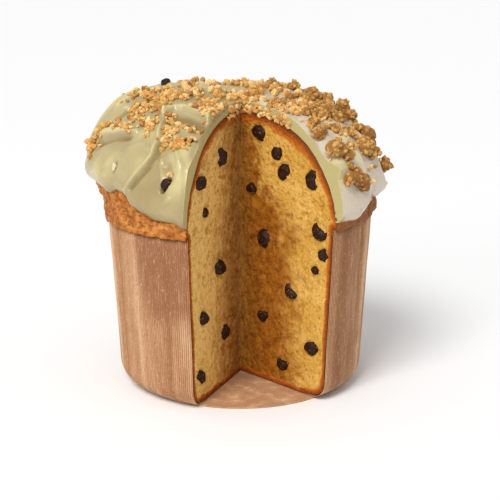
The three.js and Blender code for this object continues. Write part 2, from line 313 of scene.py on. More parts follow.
def worked(
    bm: bmesh.types.BMesh,
    amount: float,
    size: float,
    seed: int,
    knobs: float = 0.0,
    cuts: int = 2,
) -> bmesh.types.BMesh:
    """Gives a faceted lump a finer, rounder and rougher surface.

    Args:
        bm: The lump, in metres.
        amount: How far the roughness moves the surface, in millimetres.
        size: Size of its bumps, in millimetres.
        seed: Picks the roughness's pattern.
        knobs: How far round grains stand out of the surface, in millimetres.
        cuts: How many times each edge is halved, and the lump smoothed.

    Returns:
        The same bmesh.
    """
    for _ in range(cuts):
        bmesh.ops.subdivide_edges(bm, edges=bm.edges, cuts=1, use_grid_fill=True, smooth=0.6)
        bmesh.ops.smooth_vert(
            bm, verts=bm.verts, factor=0.4, use_axis_x=True, use_axis_y=True, use_axis_z=True
        )
    bm.normal_update()
    places = np.array([vert.co for vert in bm.verts]) / MM
    pushes = rough(places, size, 3, seed) * amount
    if knobs:
        grains = pits(places, 2.6, 1.0, seed)
        pushes += knobs * (grains - 0.45)
        # The crevice layer marks the low places between the grains, which the crumble's finish
        # paints dark as painted shade.
        layer = bm.verts.layers.float.new("crevice")
        for vert, deep in zip(bm.verts, ramp(0.32, 0.02, grains)):
            vert[layer] = float(deep)
    for vert, push in zip(bm.verts, pushes):
        vert.co += vert.normal * float(push) * MM
    return bm


# ------------------------------------------------------------------------------ shading


class Value:
    """A shader socket that arithmetic can be written with."""

    def __init__(self, shader: Shader, socket: bpy.types.NodeSocket) -> None:
        """Wraps an output socket of a shader's node."""
        self.shader = shader
        self.socket = socket

    def _math(self, operation: str, *others: Value | float, clamp: bool = False) -> Value:
        """This value and others, in order, put through a Math node.

        Args:
            operation: What the node does.
            *others: The other values or numbers.
            clamp: Whether the result is held from 0 to 1.

        Returns:
            Its result.
        """
        inputs = dict(enumerate((self, *others)))
        settings = {"operation": operation, "use_clamp": clamp}
        return self.shader.node("ShaderNodeMath", settings, inputs)

    def __add__(self, other: Value | float) -> Value:
        """Sum."""
        return self._math("ADD", other)

    __radd__ = __add__

    def __mul__(self, other: Value | float) -> Value:
        """Product."""
        return self._math("MULTIPLY", other)

    __rmul__ = __mul__

    def __sub__(self, other: Value | float) -> Value:
        """Difference."""
        return self._math("SUBTRACT", other)

    def __rsub__(self, other: float) -> Value:
        """Difference from a plain number."""
        return self._math("MULTIPLY", -1.0) + other

    def clamped(self) -> Value:
        """Held from 0 to 1."""
        return self._math("ADD", 0.0, clamp=True)

    def smooth(self, low: float, high: float) -> Value:
        """A smooth step from 0 at low to 1 at high."""
        settings = {"interpolation_type": "SMOOTHSTEP"}
        return self.shader.node("ShaderNodeMapRange", settings, {0: self, 1: low, 2: high})


class Shader:
    """Builds one material's nodes round a Principled surface."""

    def __init__(self, name: str) -> None:
        """Starts an empty material of that name.

        Args:
            name: The material's name.
        """
        self.material = bpy.data.materials.new(name)
        self.material.use_nodes = True
        self.tree = self.material.node_tree
        self.tree.nodes.clear()
        self.surface = self.tree.nodes.new("ShaderNodeBsdfPrincipled")
        output = self.tree.nodes.new("ShaderNodeOutputMaterial")
        self.tree.links.new(self.surface.outputs[0], output.inputs["Surface"])
        self.place = self.node("ShaderNodeTexCoord", {}, {}, "Object")

    def node(
        self,
        kind: str,
        settings: dict[str, object],
        inputs: dict[str | int, Value | float | Sequence[float]],
        output: str | int = 0,
    ) -> Value:
        """Adds a node.

        Args:
            kind: Its type.
            settings: Its own settings, which are made before its inputs.
            inputs: A value or a plain number for each named or numbered input.
            output: Which output is wanted.

        Returns:
            That output.
        """
        made = self.tree.nodes.new(kind)
        for name, setting in settings.items():
            setattr(made, name, setting)
        for key, value in inputs.items():
            if isinstance(value, Value):
                self.tree.links.new(value.socket, made.inputs[key])
            else:
                made.inputs[key].default_value = value
        return Value(self, made.outputs[output])

    def stretched(self, scale: Sequence[float]) -> Value:
        """Object coordinates scaled along each axis."""
        return self.node("ShaderNodeMapping", {}, {"Vector": self.place, "Scale": scale})

    def grain(
        self, size: float, detail: float = 2.0, roughness: float = 0.5, place: Value | None = None
    ) -> Value:
        """Noise from 0 to 1 whose broadest lumps have a size in millimetres.

        Args:
            size: Size of its broadest lumps.
            detail: How many finer layers it has.
            roughness: How strong the finer layers are.
            place: Where it is read, or None for object coordinates.

        Returns:
            The noise.
        """
        inputs = {
            "Vector": place or self.place,
            "Scale": 1 / (size * MM),
            "Detail": detail,
            "Roughness": roughness,
        }
        return self.node("ShaderNodeTexNoise", {}, inputs)

    def cells(self, size: float, place: Value | None = None) -> Value:
        """Distance to the nearest of many scattered points, 0 at each and about 1 between."""
        inputs = {"Vector": place or self.place, "Scale": 1 / (size * MM)}
        return self.node("ShaderNodeTexVoronoi", {}, inputs)

    def field(self, name: str) -> Value:
        """A vertex attribute of the piece."""
        return self.node("ShaderNodeAttribute", {"attribute_name": name}, {}, "Fac")

    def blend(self, part: Value | float, under: Value | Colour, over: Value | Colour) -> Value:
        """One colour over another, by a part from 0 to 1.

        Args:
            part: How much of the upper colour shows.
            under: The lower colour.
            over: The upper colour.

        Returns:
            The mixed colour.
        """
        inputs = {0: part}
        for key, colour in ((6, under), (7, over)):
            inputs[key] = colour if isinstance(colour, Value) else (*colour, 1.0)
        return self.node("ShaderNodeMix", {"data_type": "RGBA"}, inputs, 2)

    def coated(self, colour: Value | Colour, *coats: tuple[Value, Colour | Value]) -> Value:
        """A colour with others over it in turn, each by its own part.

        Args:
            colour: The lowest colour.
            *coats: How much of each further colour shows, and that colour.

        Returns:
            The mixed colour.
        """
        for part, over in coats:
            colour = self.blend(part, colour, over)
        return colour

    def bump(self, height: Value, depth: float, strength: float = 1.0) -> Value:
        """Surface relief.

        Args:
            height: Its height, 0 to 1.
            depth: What a height of 1 stands for, in millimetres.
            strength: How much of it shows.

        Returns:
            The bent normal.
        """
        inputs = {"Height": height, "Distance": depth * MM, "Strength": strength}
        return self.node("ShaderNodeBump", {}, inputs)

    def dress(self, **inputs: Value | float | Sequence[float]) -> bpy.types.Material:
        """Sets or links the surface's inputs, by name with underscores, and gives the material.

        Args:
            **inputs: A value, or a plain number or colour, for each input.

        Returns:
            The finished material.
        """
        for name, value in inputs.items():
            socket = self.surface.inputs[name.replace("_", " ")]
            if isinstance(value, Value):
                self.tree.links.new(value.socket, socket)
            else:
                socket.default_value = value
        return self.material


@dataclass(frozen=True)
class KraftPaper:
    """Unbleached paper, pressed into fine ribs, with patches made darker by butter."""

    plain: Colour = (0.52, 0.295, 0.15)
    grease_and_painted_shade: Colour = (0.26, 0.09, 0.024)
    fibre: Colour = (0.21, 0.09, 0.04)
    bleach_and_painted_highlight: Colour = (0.8, 0.53, 0.33)

    def material(self) -> bpy.types.Material:
        """The paper's material. It reads the fields "groove", "grease" and "pleat".

        Returns:
            The material.
        """
        s = Shader("kraft_paper")
        groove, grease = s.field("groove"), s.field("grease")
        patches = s.grain(30, 4, 0.6, s.stretched((1, 1, 0.4)))
        buttery = (grease + patches * 0.6 - 0.35).smooth(0.1, 0.6)
        stains = (patches.smooth(0.54, 0.7) * 0.5 + buttery).clamped()
        bands = s.grain(8, 2, 0.5, s.stretched((1, 1, 0.05)))
        streaks = s.grain(1.3, 3, 0.6, s.stretched((1, 1, 0.1)))
        flecks = s.grain(0.6, 2, 0.7, s.stretched((1, 1, 0.35)))
        pleat = s.field("pleat")
        colour = s.coated(
            self.plain,
            (bands.smooth(0.62, 0.38) * 0.35, self.grease_and_painted_shade),
            (bands.smooth(0.55, 0.72) * 0.5, self.bleach_and_painted_highlight),
            # Painted light: outward pleats are painted lighter, painted highlight, and inward
            # pleats darker, painted shade. The bands, grease stains, streaks and flecks are the
            # paper's own colour.
            (pleat.smooth(0.5, 0.9) * 0.6, self.bleach_and_painted_highlight),
            (pleat.smooth(0.5, 0.12) * 0.55, self.grease_and_painted_shade),
            (stains * 0.8, self.grease_and_painted_shade),
            (streaks.smooth(0.5, 0.7) * 0.25, self.bleach_and_painted_highlight),
            (streaks.smooth(0.46, 0.3) * 0.3, self.grease_and_painted_shade),
            # Painted shade in the ribs' grooves.
            (groove * 0.9, self.grease_and_painted_shade),
            (flecks.smooth(0.58, 0.7) * 0.5, self.fibre),
            (flecks.smooth(0.42, 0.32) * 0.4, self.bleach_and_painted_highlight),
        )
        relief = s.grain(0.5, 4, 0.7, s.stretched((1, 1, 0.5)))
        return s.dress(
            Base_Color=colour, Roughness=0.9 - stains * 0.3, Normal=s.bump(relief, 0.1, 0.7)
        )


@dataclass(frozen=True)
class BakedDough:
    """Golden crumb with a brown crust round it."""

    crumb: Colour = (0.58, 0.315, 0.05)
    pale: Colour = (0.82, 0.52, 0.16)
    hollow: Colour = (0.42, 0.16, 0.007)
    painted_shade_and_russet: Colour = (0.28, 0.078, 0.001)
    mottled_painted_shade: Colour = (0.13, 0.032, 0.001)
    amber: Colour = (0.5, 0.14, 0.007)
    toasted: Colour = (0.62, 0.25, 0.052)
    russet: Colour = (0.24, 0.092, 0.035)
    crust: Colour = (0.33, 0.095, 0.015)
    ember: Colour = (0.36, 0.078, 0.006)
    scorched: Colour = (0.11, 0.028, 0.006)

    def material(self) -> bpy.types.Material:
        """The dough's material.

        It reads the fields "hollow", "crust", "outside", "moist" and "pale".

        Returns:
            The material.
        """
        s = Shader("baked_dough")
        hollow, crust, outside = s.field("hollow"), s.field("crust"), s.field("outside")
        painted_shade_and_russet = s.field("painted_shade_and_russet")
        drift = s.grain(15, 3, 0.5)
        level = s.stretched((1, 0.6, 1))
        sponge = s.grain(1.4, 4, 0.75, level)
        pores = s.cells(1.2, level).smooth(0.45, 0.1)
        wide_pores = s.cells(2.7, level).smooth(0.34, 0.08) * sponge.smooth(0.3, 0.6)
        mottle = s.grain(4.2, 5, 0.7, level)
        # Painted shade: the pores, the wider pores and the low places between the sponge's grains
        # are painted darker.
        dark = hollow * 0.9 + pores * 0.4 + wide_pores * 0.5 + sponge.smooth(0.44, 0.3) * 0.6
        inner = s.coated(
            self.crumb,
            # Painted light: the pale field paints the left face's crumb paler than the right's; the
            # drift adds paler patches at random.
            ((s.field("pale") * 0.7 + drift.smooth(0.4, 0.7) * 0.4).clamped(), self.pale),
            # Painted shade: the crumb is painted darker towards the deep corner of the cut, with a
            # mottled darker edge. On the crust the same field carries the russet side, which is the
            # crust's own colour.
            ((painted_shade_and_russet * (0.65 + mottle * 0.7)).clamped(), self.painted_shade_and_russet),
            (painted_shade_and_russet * mottle.smooth(0.48, 0.66) * 0.8, self.mottled_painted_shade),
            (dark.clamped() * 0.8, self.hollow),
            (sponge.smooth(0.54, 0.68) * (0.55 - painted_shade_and_russet * 0.42), self.pale),
        )
        ridges = s.grain(3.2, 4, 0.65, s.stretched((1, 1, 1.9)))
        toast = s.coated(
            self.toasted,
            (s.grain(5, 4, 0.6).smooth(0.35, 0.65), self.crust),
            (ridges.smooth(0.5, 0.66) * 0.7, self.scorched),
            ((1 - outside) * 0.85, self.ember),
        )
        rim = crust + (sponge - 0.5) * 0.5 * crust.smooth(0.0, 0.2)
        colour = s.coated(
            inner,
            (rim.smooth(0.0, 0.34), self.amber),
            (rim.smooth(0.3, 0.56), toast),
            (rim.smooth(0.5, 0.9) * (1 - outside) * 0.7, self.scorched),
            (painted_shade_and_russet * outside * 0.75, self.russet),
        )
        holes = pores * 0.4 + wide_pores * 0.7
        height = sponge * 0.7 + ridges * outside * 0.9 - holes * (1 - outside)
        return s.dress(
            Base_Color=colour,
            Roughness=0.85 - outside * 0.16,
            Normal=s.bump(height, 0.6, 0.85),
            Specular_IOR_Level=0.18,
            Subsurface_Weight=0.1,
            Subsurface_Radius=(1.0, 0.45, 0.15),
            Subsurface_Scale=1.2 * MM,
        )


@dataclass(frozen=True)
class PistachioIcing:
    """Thick pale green-beige icing, set glossy, whiter where it is thin."""

    body: Colour = (0.41, 0.335, 0.145)
    shaded: Colour = (0.23, 0.155, 0.042)
    lit: Colour = (0.64, 0.56, 0.28)
    white: Colour = (0.62, 0.53, 0.41)
    section: Colour = (0.47, 0.41, 0.185)
    thin: Colour = (0.42, 0.25, 0.12)

    def material(self) -> bpy.types.Material:
        """The icing's material. It reads the fields "creamy", "ridge", "furrow" and "cut".

        Returns:
            The material.
        """
        s = Shader("pistachio_icing")
        creamy = s.field("creamy")
        drift = s.grain(24, 2, 0.5)
        smudges = s.grain(6, 3, 0.5).smooth(0.64, 0.74)
        specks = s.grain(0.7, 2, 0.6).smooth(0.67, 0.74)
        # Painted light: the shaded colour is painted shade, in broad random patches, in the furrows
        # and over the painted shade patch left of the cut. The lit colour is painted highlight, in
        # broad random patches and along the ridges. The specks borrow the shaded colour as small
        # dark flecks.
        colour = s.coated(
            self.body,
            (drift.smooth(0.4, 0.66) * 0.5, self.shaded),
            (drift.smooth(0.42, 0.28) * 0.4, self.lit),
            ((creamy + drift * 0.2 - 0.08).clamped(), self.white),
            (smudges * 0.4, self.thin),
            (s.field("ridge") * 0.8, self.lit),
            (s.field("furrow") * 0.9, self.shaded),
            (s.field("cut"), self.section),
            (specks * 0.35, self.shaded),
        )
        ripples = s.grain(5, 3, 0.5)
        skin = s.grain(1.1, 2, 0.6)
        return s.dress(
            Base_Color=colour,
            Roughness=0.2 + drift * 0.16,
            Normal=s.bump(ripples + skin * 0.08, 0.6, 0.55),
            Specular_IOR_Level=0.5,
            Subsurface_Weight=0.15,
            Subsurface_Radius=(1.0, 0.8, 0.4),
            Subsurface_Scale=1.5 * MM,
        )


@dataclass(frozen=True)
class DarkChocolate:
    """Chocolate drops that have melted and set again in the oven."""

    body: Colour = (0.022, 0.005, 0.0015)
    bloom: Colour = (0.06, 0.017, 0.006)
    crumb: Colour = (0.5, 0.25, 0.06)

    def material(self) -> bpy.types.Material:
        """The drops' material.

        Returns:
            The material.
        """
        s = Shader("dark_chocolate")
        film = s.grain(3, 3, 0.6)
        crumbs = s.grain(1.2, 2, 0.6).smooth(0.64, 0.7)
        colour = s.coated(
            self.body, (film.smooth(0.5, 0.8) * 0.6, self.bloom), (crumbs * 0.75, self.crumb)
        )
        return s.dress(
            Base_Color=colour,
            Roughness=0.3 + film * 0.4,
            Specular_IOR_Level=0.18,
            Normal=s.bump(film + crumbs * 0.5, 0.6, 0.7),
        )


@dataclass(frozen=True)
class ButterCrumble:
    """Crumble baked to colours from pale gold to dark brown, sandy all over."""

    gold: Colour = (0.92, 0.53, 0.13)
    brown: Colour = (0.52, 0.215, 0.055)
    pale: Colour = (0.98, 0.76, 0.42)
    painted_crevice_shade: Colour = (0.16, 0.05, 0.008)

    def material(self) -> bpy.types.Material:
        """The crumble's material. It reads the fields "tone" and "crevice".

        Returns:
            The material.
        """
        s = Shader("butter_crumble")
        tone = s.field("tone")
        mottle = s.grain(2.4, 3, 0.65)
        sand = s.grain(0.8, 4, 0.75)
        colour = s.coated(
            self.gold,
            ((tone + mottle * 0.7 - 0.35).clamped(), self.brown),
            (tone.smooth(0.32, 0.0) * 0.55, self.pale),
            (sand.smooth(0.52, 0.7) * (0.75 - tone * 0.35), self.pale),
            # Painted shade: the low places of the sand and of the mottle, and the crevices between
            # the grains, are painted dark.
            (sand.smooth(0.46, 0.32) * 0.65, self.painted_crevice_shade),
            (mottle.smooth(0.42, 0.3) * 0.5, self.painted_crevice_shade),
            (s.field("crevice") * 0.6, self.painted_crevice_shade),
        )
        return s.dress(
            Base_Color=colour,
            Roughness=0.86,
            Specular_IOR_Level=0.25,
            Normal=s.bump(sand + mottle * 0.8, 0.8, 1.0),
        )


# ------------------------------------------------------------------------------ shape of the bake


class Side(Enum):
    """The two faces of the cut, by their azimuth."""

    LEFT = -22.0
    RIGHT = 42.5

    @property
    def normal(self) -> np.ndarray:
        """The direction out of the crumb, into the cut."""
        way = 90 if self is Side.LEFT else -90
        return polar(np.array([1.0]), np.array([self.value + way]), np.array([0.0]))[0]


FULL_TURN = 360 + Side.LEFT.value - Side.RIGHT.value


@dataclass
class CaseSizes:
    """Sizes of the paper case.

    Attributes:
        height: Mean height of the rim.
        rim_tilt: How much higher the rim is on its right, and lower on its left.
        rim_radius: Radius inside the rim.
        base_radius: Radius inside the wall, just over its rounded foot.
        foot_radius: How round the foot is.
        flange_radius: Where the turned-in foot ends.
        floor_radius: Radius of the floor sheet.
        paper: Thickness of the paper that the other sizes allow for.
        gap: Air between the paper and what lies on it.
        foot_share: Part of the way up the wall that the rounded foot takes.
    """

    height: float = 106.5
    rim_tilt: float = 1.8
    rim_radius: float = 79.0
    base_radius: float = 73.2
    foot_radius: float = 10.0
    flange_radius: float = 57.0
    floor_radius: float = 64.0
    paper: float = 0.8
    gap: float = 0.3
    foot_share: float = 0.125

    def rim(self, azimuth: np.ndarray) -> np.ndarray:
        """Height of the rim at each azimuth."""
        return self.height + self.rim_tilt * np.sin(np.radians(azimuth))

    def inside(self, share: np.ndarray, azimuth: np.ndarray) -> tuple[np.ndarray, np.ndarray]:
        """Radius and height of the wall's inside, from the foot's inner end, 0, to the rim, 1.

        Args:
            share: Place up the wall.
            azimuth: Azimuth of each place.

        Returns:
            The radii and the heights.
        """
        turned = np.clip(share / self.foot_share, 0, 1) * math.pi / 2
        foot_top = 2 * self.paper + self.gap + self.foot_radius
        up = np.clip((share - self.foot_share) / (1 - self.foot_share), 0, 1)
        foot_radius = self.base_radius - self.foot_radius * (1 - np.sin(turned))
        foot_height = foot_top - self.foot_radius * np.cos(turned)
        wall_radius = self.base_radius + (self.rim_radius - self.base_radius) * up
        wall_height = foot_top + (self.rim(azimuth) - foot_top) * up
        radius = np.where(up > 0, wall_radius, foot_radius)
        height = np.where(up > 0, wall_height, foot_height)
        return radius, height


class Dome:
    """The crust's surface above the rim, lopsided where the dough swelled and rose.

    Attributes:
        OUTLINE: Radius and height of each knot of the outline, from the rim to the crown.
        SWELLS: Azimuth, spread and amount of each outward swell.
        RISES: X and Y of each rise's middle, its spread along X and along Y, and its amount.
    """

    OUTLINE = (
        (80.3, 107.0), (80.6, 115.0), (77.6, 127.0), (70.0, 140.0), (57.0, 153.8), (39.0, 162.5),
        (20.0, 166.0), (0.0, 166.6),
    )
    SWELLS = ((-100, 38, 11.5), (95, 34, 2.6), (180, 60, 5.0))
    RISES = ((-65, 30, 38, 38, 15), (14, 36, 34, 28, 6))

    def __init__(self, case: CaseSizes) -> None:
        """Measures the outline's smooth curve.

        Args:
            case: Sizes of the case that it stands in.
        """
        self.case = case
        knots = np.array(self.OUTLINE)
        curve = np.array([self._knot_curve(knots, t) for t in np.linspace(0, 1, 201)])
        steps = np.linalg.norm(np.diff(curve, axis=0), axis=1)
        self._share = np.concatenate([[0], np.cumsum(steps)]) / steps.sum()
        self._radius, self._height = curve.T

    @staticmethod
    def _knot_curve(knots: np.ndarray, t: float) -> np.ndarray:
        """A point of the smooth curve through the knots, with t from 0 to 1.

        Args:
            knots: The knots, one row each.
            t: How far along the curve.

        Returns:
            The point.
        """
        last = len(knots) - 1
        start = min(int(t * last), last - 1)
        w = t * last - start
        p0, p1, p2, p3 = (knots[min(max(start + i, 0), last)] for i in (-1, 0, 1, 2))
        v0, v1 = (p2 - p0) / 2, (p3 - p1) / 2
        cubed = 2 * p1 - 2 * p2 + v0 + v1
        squared = 3 * p2 - 3 * p1 - 2 * v0 - v1
        return cubed * w**3 + squared * w**2 + v0 * w + p1

    def crust(self, share: np.ndarray, azimuth: np.ndarray) -> np.ndarray:
        """Points of the crust's surface.

        Args:
            share: Places on the outline, from the rim to the crown.
            azimuth: Their azimuths.

        Returns:
            The points, one row each.
        """
        share, azimuth = np.broadcast_arrays(np.asarray(share, float), np.asarray(azimuth, float))
        radius = np.interp(share, self._share, self._radius)
        height = np.interp(share, self._share, self._height)
        swell = sum(amount * near(azimuth, at, spread) for at, spread, amount in self.SWELLS)
        band = ramp(109, 130, height) * (1 - 0.75 * ramp(140, 168, height))
        points = polar(np.where(share < 1, radius + swell * band, 0), azimuth, height)
        for x, y, wide, deep, amount in self.RISES:
            bell = np.exp(-(((points[:, 0] - x) / wide) ** 2) - ((points[:, 1] - y) / deep) ** 2)
            points[:, 2] += amount * bell * ramp(118, 150, height)
        points[:, 2] += (self.case.rim(azimuth) - self.case.height) * (1 - ramp(107, 125, height))
        return points

    def normal(self, share: np.ndarray, azimuth: np.ndarray) -> np.ndarray:
        """The outward direction of the crust.

        Args:
            share: Places on the outline, from the rim to the crown.
            azimuth: Their azimuths.

        Returns:
            Unit vectors, one row each.
        """
        share, azimuth = np.broadcast_arrays(np.asarray(share, float), np.asarray(azimuth, float))
        along = self.crust(np.minimum(share + 0.01, 1), azimuth)
        along -= self.crust(np.maximum(share - 0.01, 0), azimuth)
        across = self.crust(share, azimuth + 1) - self.crust(share, azimuth - 1)
        out = np.cross(across, along)
        out /= np.maximum(np.linalg.norm(out, axis=1, keepdims=True), 1e-9)
        flat = ramp(0.92, 0.985, share)[:, None]
        out = out * (1 - flat) + np.array([0, 0, 1.0]) * flat
        return out / np.linalg.norm(out, axis=1, keepdims=True)

    def above(
        self, share: np.ndarray, azimuth: np.ndarray, height: np.ndarray | float
    ) -> np.ndarray:
        """Points above the crust by heights along its normal."""
        lift = np.broadcast_to(height, np.broadcast(share, azimuth).shape)
        return self.crust(share, azimuth) + self.normal(share, azimuth) * lift[:, None]


@dataclass
class Stroke:
    """A fold or furrow of icing along a path of (azimuth, share) points."""

    path: tuple[tuple[float, float], ...]
    width: float
    height: float


@dataclass
class Icing:
    """The glaze over the dome, thick and folded, with a rounded lower edge.

    Attributes:
        dome: The crust that it lies on.
        thickness: Its thickness over most of the dome.
        crown_thickness: Its thickness at the crown.
        lip_thickness: Its thickness at the lower edge.
        lip_reach: How far up the lower edge is rounded.
        lip_end: How far up its full thickness begins.
        bead: The swelling over the edge: how high it is, how far up, and its spread.
        outline_length: Length of the dome's outline.
        clearance: Air between the glaze and the crust.
        columns: Faces round the dome.
        rows: Stations up its outer side.
        inner_rows: Stations down its inner side.
        edge: Azimuth and share of the points that its lower edge runs through.
        folds: Azimuth, share, spread, reach up and down, and amount of the thick places.
        right_lip_at_cut: Share and thickness along the right end of the cut.
        left_lip_at_cut: Share and thickness along the left end.
        strokes: Its folds and furrows.
        tear: The path where it is torn open.
        tear_width: How far from the path the tear ends, and where it is at its deepest.
        tear_depth: Part of the thickness that is gone there.
        white_side: Azimuths where it begins to be white, is whitest, turns green again, and is.
    """

    dome: Dome
    thickness: float = 6.0
    crown_thickness: float = 4.4
    lip_thickness: float = 4.2
    lip_reach: float = 4.5
    lip_end: float = 11.0
    bead: tuple[float, float, float] = (1.0, 5.0, 3.5)
    outline_length: float = 114.0
    clearance: float = 0.1
    columns: int = 540
    rows: int = 144
    inner_rows: int = 13
    edge: tuple[tuple[float, float], ...] = (
        (-165, 0.12), (-140, 0.07), (-115, 0.15), (-95, 0.15), (-78, 0.17), (-70, 0.163),
        (-65.5, 0.15), (-60.5, 0.175), (-56, 0.17), (-52.5, 0.155), (-48, 0.114), (-42, 0.095),
        (-36, 0.075), (-28, 0.073), (-22, 0.05), (43, 0.034), (48, 0.03), (53, 0.022),
        (57, 0.042), (60, 0.062), (64, 0.112), (67.2, 0.142), (71, 0.11), (76, 0.085),
        (90, 0.065), (100, 0.09), (110, 0.1), (121, 0.06), (135, 0.05), (148, 0.1), (160, 0.13),
    )
    folds: tuple[tuple[float, float, float, float, float], ...] = (
        (-25, 0.32, 9, 0.12, 5.5), (45, 0.31, 8, 0.1, 6.0),
    )
    right_lip_at_cut: tuple[tuple[float, float], ...] = (
        (0.05, 3.9), (0.09, 6.2), (0.19, 7.6), (0.24, 8.8), (0.28, 14.5), (0.3, 11.0),
        (0.34, 6.9), (0.43, 4.6), (0.5, 5.0), (0.63, 6.4), (1.0, 4.4),
    )
    left_lip_at_cut: tuple[tuple[float, float], ...] = (
        (0.05, 3.9), (0.2, 6.6), (0.31, 10.2), (0.4, 6.4), (0.5, 3.6), (0.65, 3.0), (0.8, 3.4),
        (1.0, 4.4),
    )
    strokes: tuple[Stroke, ...] = (
        Stroke(
            (
                (-72, 0.64), (-61.4, 0.58), (-55, 0.53), (-47, 0.456), (-44, 0.369), (-45, 0.322),
                (-47.7, 0.27), (-49.8, 0.217), (-53, 0.175),
            ),
            1.35,
            2.9,
        ),
        Stroke(((-44, 0.45), (-41.8, 0.37), (-43, 0.315), (-45.6, 0.262), (-48.4, 0.2)), 1.3, -2.6),
        Stroke(((-89, 0.339), (-83.5, 0.381), (-74.5, 0.428), (-66.6, 0.456)), 2.6, 2.8),
        Stroke(((-83.3, 0.322), (-78.8, 0.355), (-74, 0.392), (-67.9, 0.42)), 2.2, -2.4),
        Stroke(((-38, 0.36), (-37.2, 0.328), (-35, 0.293), (-33.3, 0.261)), 1.2, 1.1),
        Stroke(((-27, 0.34), (-25.3, 0.29), (-25.8, 0.26)), 1.2, 1.0),
        Stroke(((-32, 0.322), (-29.5, 0.293), (-29.3, 0.27)), 3.0, -2.4),
        Stroke(
            (
                (-29.9, 0.39), (-25, 0.328), (-23.8, 0.287), (-23.2, 0.219), (-23, 0.15),
                (-23, 0.08),
            ),
            1.3,
            2.0,
        ),
        Stroke(
            ((-66, 0.6), (-68, 0.66), (-61, 0.695), (-46, 0.69), (-32, 0.68), (-21, 0.63)),
            2.2,
            3.0,
        ),
        Stroke(((-56, 0.585), (-45, 0.61), (-34, 0.6), (-27, 0.57)), 4.5, -3.6),
        Stroke(((-61.6, 0.371), (-55, 0.411), (-48, 0.393)), 3.0, 1.2),
        Stroke(((-33.7, 0.143), (-31, 0.15), (-28.5, 0.177)), 1.5, 1.1),
        Stroke(((-64.8, 0.291), (-63.2, 0.257)), 1.4, -1.8),
        Stroke(((-37, 0.48), (-36, 0.475)), 2.6, 2.2),
        Stroke(((-98, 0.45), (-101, 0.5), (-98, 0.56)), 3.5, 2.4),
        Stroke(((-90, 0.45), (-92, 0.5), (-90, 0.56)), 3.5, -2.4),
        Stroke(((-77, 0.27), (-74, 0.225), (-70, 0.195)), 2.2, 1.2),
        Stroke(((46, 0.86), (51, 0.84)), 2.6, 2.4),
        Stroke(((62, 0.73), (72, 0.72)), 3.0, 2.2),
        Stroke(((64, 0.29), (66, 0.4), (70, 0.48)), 7.0, 1.6),
        Stroke(((-100, 0.6), (-104, 0.45), (-98, 0.3), (-101, 0.2)), 2.6, 2.0),
        Stroke(((-118, 0.66), (-125, 0.5), (-119, 0.35), (-124, 0.22)), 3.0, 2.2),
        Stroke(((-140, 0.7), (-147, 0.52), (-143, 0.36), (-146, 0.2)), 2.6, 2.2),
        Stroke(((-168, 0.6), (-172, 0.45), (-166, 0.3), (-168, 0.17)), 3.2, 2.0),
        Stroke(((162, 0.7), (158, 0.5), (163, 0.33), (160, 0.18)), 2.6, 2.0),
        Stroke(((136, 0.62), (131, 0.45), (137, 0.28), (134, 0.12)), 3.0, 2.2),
        Stroke(((104, 0.5), (107, 0.36), (103, 0.24), (106, 0.14)), 2.6, 1.6),
        Stroke(((84, 0.4), (86, 0.28), (82, 0.2), (84, 0.1)), 2.8, 1.5),
        Stroke(((62, 0.42), (64, 0.32), (62, 0.24)), 3.0, 1.3),
    )
    tear: tuple[tuple[float, float], ...] = ((-30.2, 0.25), (-32.0, 0.215))
    tear_width: tuple[float, float] = (2.3, 1.1)
    tear_depth: float = 0.93
    white_side: tuple[float, float, float, float] = (40, 42, 120, 165)

    def edge_share(self, azimuth: np.ndarray) -> np.ndarray:
        """Share of the outline where the glaze ends, at each azimuth.

        Args:
            azimuth: Where it is wanted.

        Returns:
            One share for each azimuth.
        """
        ring = sorted((float(turn(Side.LEFT.value, at)), share) for at, share in self.edge)
        ats = np.array([ring[-1][0] - 360, *(at for at, _ in ring), ring[0][0] + 360])
        shares = np.array([ring[-1][1], *(share for _, share in ring), ring[0][1]])
        place = turn(Side.LEFT.value, azimuth)
        after = np.clip(np.searchsorted(ats, place, side="right"), 1, len(ats) - 1)
        low, high = ats[after - 1], ats[after]
        part = ramp(0, 1, (place - low) / (high - low))
        return shares[after - 1] * (1 - part) + shares[after] * part

    def thickness_at(self, share: np.ndarray, azimuth: np.ndarray) -> np.ndarray:
        """Thickness of the glaze at each place, its folds and furrows included.

        Args:
            share: Places on the outline, from the rim to the crown.
            azimuth: Their azimuths.

        Returns:
            The thicknesses, in millimetres.
        """
        share, azimuth = np.broadcast_arrays(np.asarray(share, float), np.asarray(azimuth, float))
        deep = self.thickness + (self.crown_thickness - self.thickness) * ramp(0.6, 1, share)
        for at, middle, spread, reach, amount in self.folds:
            band = np.exp(-(((share - middle) / reach) ** 2))
            deep = deep + amount * near(azimuth, at, spread) * band
        base = self.dome.crust(share, azimuth)
        for stroke in self.strokes:
            shares = np.array([s for _, s in stroke.path])
            azimuths = np.array([a for a, _ in stroke.path])
            fine = np.linspace(0, len(shares) - 1, 6 * len(shares))
            knots = np.arange(len(shares))
            path = self.dome.crust(np.interp(fine, knots, shares), np.interp(fine, knots, azimuths))
            distance = distance_to(base, path)
            deep = deep + stroke.height * np.exp(-((distance / stroke.width) ** 2))
        waves = rough(base, 26, 2, 4) * 1.3 + rough(base, 9, 2, 8) * 0.35
        deep = deep + waves * ramp(1.02, 0.9, share)
        for side, spread, lip in (
            (Side.RIGHT, 4.5, self.right_lip_at_cut),
            (Side.LEFT, 2.6, self.left_lip_at_cut),
        ):
            weight = near(azimuth, side.value, spread)
            deep = deep + (np.interp(share, *np.array(lip).T) - deep) * weight
        return deep

